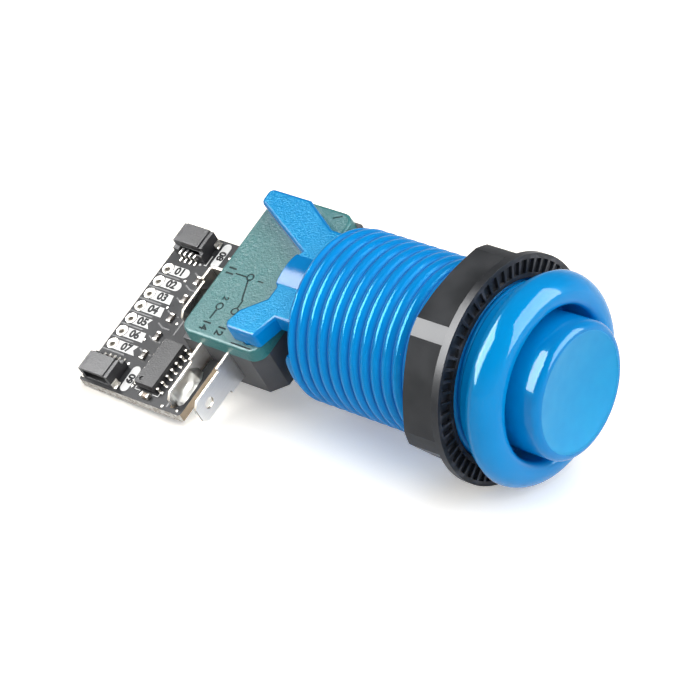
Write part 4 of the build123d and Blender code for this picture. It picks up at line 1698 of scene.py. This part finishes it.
@dataclass
class BoardPrint:
    """White print, plated rims and plain numbers on the board's upper side."""

    top: float = BOARD_TOP
    rise: float = 0.025
    pad_row: float = -69.83
    pad_first: float = -2.04
    pad_pitch: float = 2.54
    rim_radius: float = 0.98
    rim_bore: float = 0.36
    rim_depth: float = 1.58
    flag_half: float = 0.86
    flag_gap: float = 1.14
    flags: tuple[tuple[float, FlagEnd], ...] = (
        (-65.4, FlagEnd.ROUND), (-65.2, FlagEnd.ROUND), (-65.1, FlagEnd.SLANT),
        (-65.1, FlagEnd.SLANT), (-65.7, FlagEnd.FORK), (-65.1, FlagEnd.SLANT),
        (-64.8, FlagEnd.FORK),
    )
    flag_figure: float = 1.9
    pill_radius: float = 0.78
    pills: tuple[tuple[Point, Point, str], ...] = (
        ((4.5, -62.25), (1.2, -62.3), "08"), ((-20.3, -62.5), (-23.5, -62.4), "09"),
    )
    pill_figure: float = 1.7
    figure_depth: float = 0.012
    figure_weight: float = 0.05
    dot: Point = (0.3, -64.8)
    dot_radius: float = 0.22
    patches: tuple[tuple[float, float, float, float], ...] = (
        (0.55, -63.75, 2.4, -63.6), (0.4, -64.1, 0.55, -63.6),
        (-23.2, -60.6, -23.08, -59.4), (-23.2, -60.6, -22.4, -60.48),
        (-23.2, -56.9, -23.08, -55.7), (-23.2, -55.82, -22.4, -55.7),
    )
    trace_half: float = 0.12
    trace_rise: float = 0.012
    long_traces: tuple[tuple[Point, Point], ...] = (
        ((-24.2, -53.2), (-18.0, -53.2)), ((-15.5, -54.6), (-9.0, -54.6)),
        ((-12.6, -60.6), (-5.2, -60.6)),
    )
    via_radius: float = 0.2
    via_rise: float = 0.015
    via_spots: tuple[Point, ...] = (
        (-24.3, -54.0), (-23.2, -52.3), (-24.2, -51.0), (-21.6, -51.2), (-22.9, -61.3),
        (-19.6, -64.6), (-14.9, -64.9), (-10.6, -61.4), (-6.9, -61.9), (-12.6, -55.4),
        (-3.2, -65.3), (0.5, -61.0), (2.9, -60.6), (-8.5, -65.0),
    )

    def patch(self, outline: list[Point], rise: float) -> Mesh:
        """Thin patch of an outline in x and z on the board."""
        return plate("patch", outline, self.top - SUNK, self.top + rise)

    def pad_places(self) -> list[float]:
        """X of each pad in the row."""
        return [self.pad_first - index * self.pad_pitch for index in range(len(self.flags))]

    def flag(self, x: float, tip: float, end: FlagEnd) -> list[Point]:
        """Outline of a printed flag that starts round a pad.

        Args:
            x: the pad's x.
            tip: z of the flag's free end.
            end: shape of the free end.

        Returns:
            Closed loop of x and z.
        """
        half = self.flag_half
        spread = math.degrees(math.asin(half / self.flag_gap))
        start = arc((self.pad_row, x), self.flag_gap, spread, -spread, 8)
        if end is FlagEnd.ROUND:
            free = arc((tip - half, x), half, -90, 90, 10)
        elif end is FlagEnd.SLANT:
            free = [(tip + 0.15, x - half), (tip - 0.25, x + half)]
        else:
            free = [(tip + 0.1, x - half), (tip - 0.65, x), (tip - 0.2, x + half)]
        return [(across, along) for along, across in [*start, *free]]

    def pill(self, first: Point, last: Point) -> list[Point]:
        """Outline of a printed bar with round ends.

        Args:
            first: middle of one end in x and z.
            last: middle of the other end.

        Returns:
            Closed loop of x and z.
        """
        angle = math.degrees(math.atan2(last[1] - first[1], last[0] - first[0]))
        return [
            *arc(last, self.pill_radius, angle - 90, angle + 90, 10),
            *arc(first, self.pill_radius, angle + 90, angle + 270, 10),
        ]

    def figure(self, text: str, size: float, spot: Point, along: Place, upward: Place) -> Mesh:
        """Plain number printed at a spot in x and z."""
        centre = (spot[0], self.top + self.rise, spot[1])
        return lettering(text, size, centre, along, upward, self.figure_depth, self.figure_weight)

    def rims(self) -> Mesh:
        """Plated rims in the row of holes.

        Returns:
            All rims in one mesh.
        """
        section = [
            (self.rim_bore, -self.rim_depth), (0.495, -self.rim_depth), (0.495, 0.0),
            (self.rim_radius, 0.0), (self.rim_radius - 0.03, 0.035), (0.5, 0.05),
            (self.rim_bore, -0.05),
        ]
        pattern = held("pad_rim", shaded(laid(turned("rim", section, 32)), 40.0))
        row = {
            "Piece": pattern,
            "Count": len(self.flags),
            "Start": (self.pad_first * MM, self.top * MM, self.pad_row * MM),
            "Step": (-self.pad_pitch * MM, 0.0, 0.0),
            "Material": TINNED.material(),
        }
        made = grown("rims", row_tree(), row)
        bpy.data.objects.remove(pattern)
        return made

    def traces(self) -> Mesh:
        """Covered traces between the flags, the chip and the sockets.

        Returns:
            All traces in one mesh.
        """
        runs = [*self.long_traces]
        for x in self.pad_places():
            runs.append(((x + 0.75, -64.6), (x + 0.2, -63.4)))
            runs.append(((x + 0.2, -63.4), (x + 0.2, -61.9)))
            runs.append(((x - 1.27, -71.0), (x - 1.27, -66.4)))
        lines = [strip(*ends, self.trace_half) for ends in runs]
        return joined("traces", [self.patch(line, self.trace_rise) for line in lines])

    def vias(self) -> Mesh:
        """Small plated holes scattered over the board."""
        dots = [circle(spot, self.via_radius, 12) for spot in self.via_spots]
        return joined("vias", [self.patch(dot, self.via_rise) for dot in dots])

    def build(self) -> None:
        """Lay the print, the rims and the numbers on the board."""
        white, dark = [], []
        for x, (tip, end) in zip(self.pad_places(), self.flags):
            white.append(self.flag(x, tip, end))
            spot = (x, (self.pad_row + tip) / 2 + 0.35)
            text = f"0{len(white)}"
            dark.append(self.figure(text, self.flag_figure, spot, (0, 0, 1), (1, 0, 0)))
        for first, last, text in self.pills:
            white.append(self.pill(first, last))
            spot = ((first[0] + last[0]) / 2, (first[1] + last[1]) / 2)
            dark.append(self.figure(text, self.pill_figure, spot, (-1, 0, 0), (0, 0, 1)))
        white.append(circle(self.dot, self.dot_radius, 18))
        white += [rectangle(*corners) for corners in self.patches]
        prints = joined("print", [self.patch(outline, self.rise) for outline in white])
        set_piece("board_traces", self.traces(), TRACE)
        set_piece("board_vias", self.vias(), TINNED)
        set_piece("board_print", prints, SILK)
        set_piece("board_figures", joined("figures", dark), INK)
        set_piece("pad_rims", self.rims(), TINNED)


@dataclass(frozen=True)
class Softbox:
    """Lamp that faces the button.

    Its way from the button is in shares upwards, to the right and to the camera, and its size
    is in metres.
    """

    name: str
    way: Place
    size: Point
    radiance: float
    role: Lamp


SOFTBOXES = (
    Softbox("top_softbox", (0.95, 0.15, 0.0), (0.6, 0.6), 1.75, Lamp.LIGHT),
    Softbox("left_softbox", (0.62, -0.75, 0.1), (0.7, 0.6), 0.4, Lamp.LIGHT),
    Softbox("right_softbox", (0.5, 0.52, 0.69), (0.5, 0.5), 2.9, Lamp.LIGHT),
    Softbox("left_window", (0.58, -0.8, 0.15), (0.6, 0.58), 25.0, Lamp.WINDOW),
    Softbox("right_window", (0.45, 0.8, 0.2), (0.5, 0.5), 13.0, Lamp.WINDOW),
)


@dataclass(frozen=True)
class Studio:
    """Floor, camera, lamps and surroundings, squared to the floor that the button lies on."""

    up: Place = (0.50688, 0.86080, 0.04577)
    right: Place = (0.53756, -0.35715, 0.76386)
    near: Place = (-0.67388, 0.36258, 0.64376)
    centre: Place = (-3.0, 0.0, -32.0)
    eye: Place = (-167.271, 328.383, 237.292)
    look: Place = (0.357034, -0.724259, -0.589895)
    lift: Place = (0.763912, 0.589824, -0.261814)
    lens: float = 157.81
    sensor: float = 36.0
    lamp_distance: float = 0.6
    window_distance: float = 0.57
    floor_height: float = -17.56
    floor_half: float = 4.0
    paper_scale: float = 60.0
    paper_colours: tuple[Colour, Colour] = ((0.86, 0.86, 0.86), (0.85, 0.85, 0.85))
    seen_colour: Colour = (1.25, 1.2, 1.12)
    seen_glow: tuple[float, float, float, float] = (0.15, 0.5, 0.28, 1.0)
    mirrored_glow: float = 0.28
    fill: float = 0.3
    room: tuple[float, float, float, float] = (0.05, 0.4, 0.75, 0.15)

    def camera(self) -> None:
        """Set the camera where the photograph was taken from."""
        data = bpy.data.cameras.new("photo_camera")
        data.lens, data.sensor_width = self.lens, self.sensor
        data.clip_start, data.clip_end = 0.01, 20.0
        made = held("photo_camera", data)
        back, upward = -Vector(self.look), Vector(self.lift)
        made.matrix_world = posed(Vector(self.eye) * MM, upward.cross(back), upward, back)
        bpy.context.scene.camera = made

    def hang(self, box: Softbox) -> None:
        """Hang a softbox that faces the button.

        Args:
            box: the softbox.
        """
        data = bpy.data.lights.new(box.name, "AREA")
        data.shape = "RECTANGLE"
        data.size, data.size_y = box.size
        data.energy = box.radiance * math.pi * box.size[0] * box.size[1]
        made = held(box.name, data)
        window = box.role is Lamp.WINDOW
        made.visible_diffuse, made.visible_glossy = not window, window
        axes = (self.up, self.right, self.near)
        way = sum((Vector(axis) * share for axis, share in zip(axes, box.way)), Vector())
        way.normalize()
        level = Vector(self.up).cross(way).normalized()
        distance = self.window_distance if window else self.lamp_distance
        place = Vector(self.centre) * MM + way * distance
        made.matrix_world = posed(place, level, way.cross(level), way)
        log.info("%s: %.2f by %.2f m, %s", box.name, *box.size, box.role.value)

    def paper(self, middle: Vector) -> Material:
        """Pale floor, white to the camera and clear from below.

        Args:
            middle: the floor's middle, in metres.

        Returns:
            The floor's material.
        """
        made = bpy.data.materials.new("pale_floor")
        sheet = emptied(made)
        path = sheet.add("ShaderNodeLightPath").outputs
        cloud = sheet.effect(moulded_grain(), Scale=self.paper_scale)["Cloud"]
        plain = sheet.mix(cloud, *map(rgba, self.paper_colours))
        colour = sheet.mix(path["Is Camera Ray"], plain, rgba(self.seen_colour))
        matt = sheet.add("ShaderNodeBsdfDiffuse", {"Color": colour}).outputs[0]
        away = sheet.spread(sheet.vector("DISTANCE", sheet.place(), middle[:]), *self.seen_glow)
        seen = sheet.math("MULTIPLY", path["Is Camera Ray"], away)
        shown = sheet.math("MAXIMUM", path["Is Glossy Ray"], path["Is Transmission Ray"])
        strength = sheet.math("MULTIPLY_ADD", shown, self.mirrored_glow, seen)
        glow = sheet.add("ShaderNodeEmission", {"Strength": strength}).outputs[0]
        lit = sheet.add("ShaderNodeAddShader", {0: matt, 1: glow}).outputs[0]
        back = sheet.add("ShaderNodeNewGeometry").outputs["Backfacing"]
        clear = sheet.add("ShaderNodeBsdfTransparent").outputs[0]
        surface = sheet.add("ShaderNodeMixShader", {0: back, 1: lit, 2: clear}).outputs[0]
        sheet.add("ShaderNodeOutputMaterial", {"Surface": surface})
        return made

    def floor(self) -> None:
        """Lay the pale floor, seen from above only."""
        up, centre, half = Vector(self.up), Vector(self.centre), self.floor_half
        side, near = Vector(self.right) * half, Vector(self.near) * half
        middle = (centre + up * (self.floor_height - up.dot(centre))) * MM
        signs = rectangle(-1, -1, 1, 1)
        mesh = bpy.data.meshes.new("floor")
        mesh.from_pydata([(middle + side * a + near * b)[:] for a, b in signs], [], [(0, 3, 2, 1)])
        if mesh.polygons[0].normal.dot(up) < 0:
            mesh.flip_normals()
        mesh.materials.append(self.paper(middle))
        held("floor", mesh)

    def surroundings(self) -> None:
        """White surroundings for what is seen, softer for what they light."""
        world = bpy.data.worlds.new("white_room")
        bpy.context.scene.world = world
        sheet = emptied(world)
        path = sheet.add("ShaderNodeLightPath").outputs
        plain = sheet.math("MAXIMUM", path["Is Camera Ray"], path["Is Transmission Ray"])
        way = sheet.add("ShaderNodeTexCoord").outputs["Generated"]
        room = sheet.spread(sheet.vector("DOT_PRODUCT", way, self.up), *self.room)
        strength = sheet.math("MULTIPLY_ADD", path["Is Glossy Ray"], room, plain)
        seen = sheet.math("MAXIMUM", plain, path["Is Glossy Ray"])
        levels = []
        for level in (self.fill, strength):
            inputs = {"Color": rgba((1.0, 1.0, 1.0)), "Strength": level}
            levels.append(sheet.add("ShaderNodeBackground", inputs).outputs[0])
        mixed = sheet.add("ShaderNodeMixShader", {0: seen, 1: levels[0], 2: levels[1]})
        sheet.add("ShaderNodeOutputWorld", {"Surface": mixed.outputs[0]})

    def build(self) -> None:
        """Set up everything round the button."""
        self.camera()
        self.floor()
        for box in SOFTBOXES:
            self.hang(box)
        self.surroundings()
        bpy.context.scene.view_settings.view_transform = "Standard"


def main() -> None:
    """Build every sub-assembly on the frame and set the studio round it."""
    logging.basicConfig(level=logging.INFO, format="%(name)s: %(message)s")
    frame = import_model()
    Housing().build()
    plunger = Plunger()
    plunger.build()
    plunger.coil()
    MountingNut().build(frame)
    Microswitch().build(frame)
    CircuitBoard().build(frame)
    BoardPrint().build()
    Studio().build()


if __name__ == "__main__":
    main()
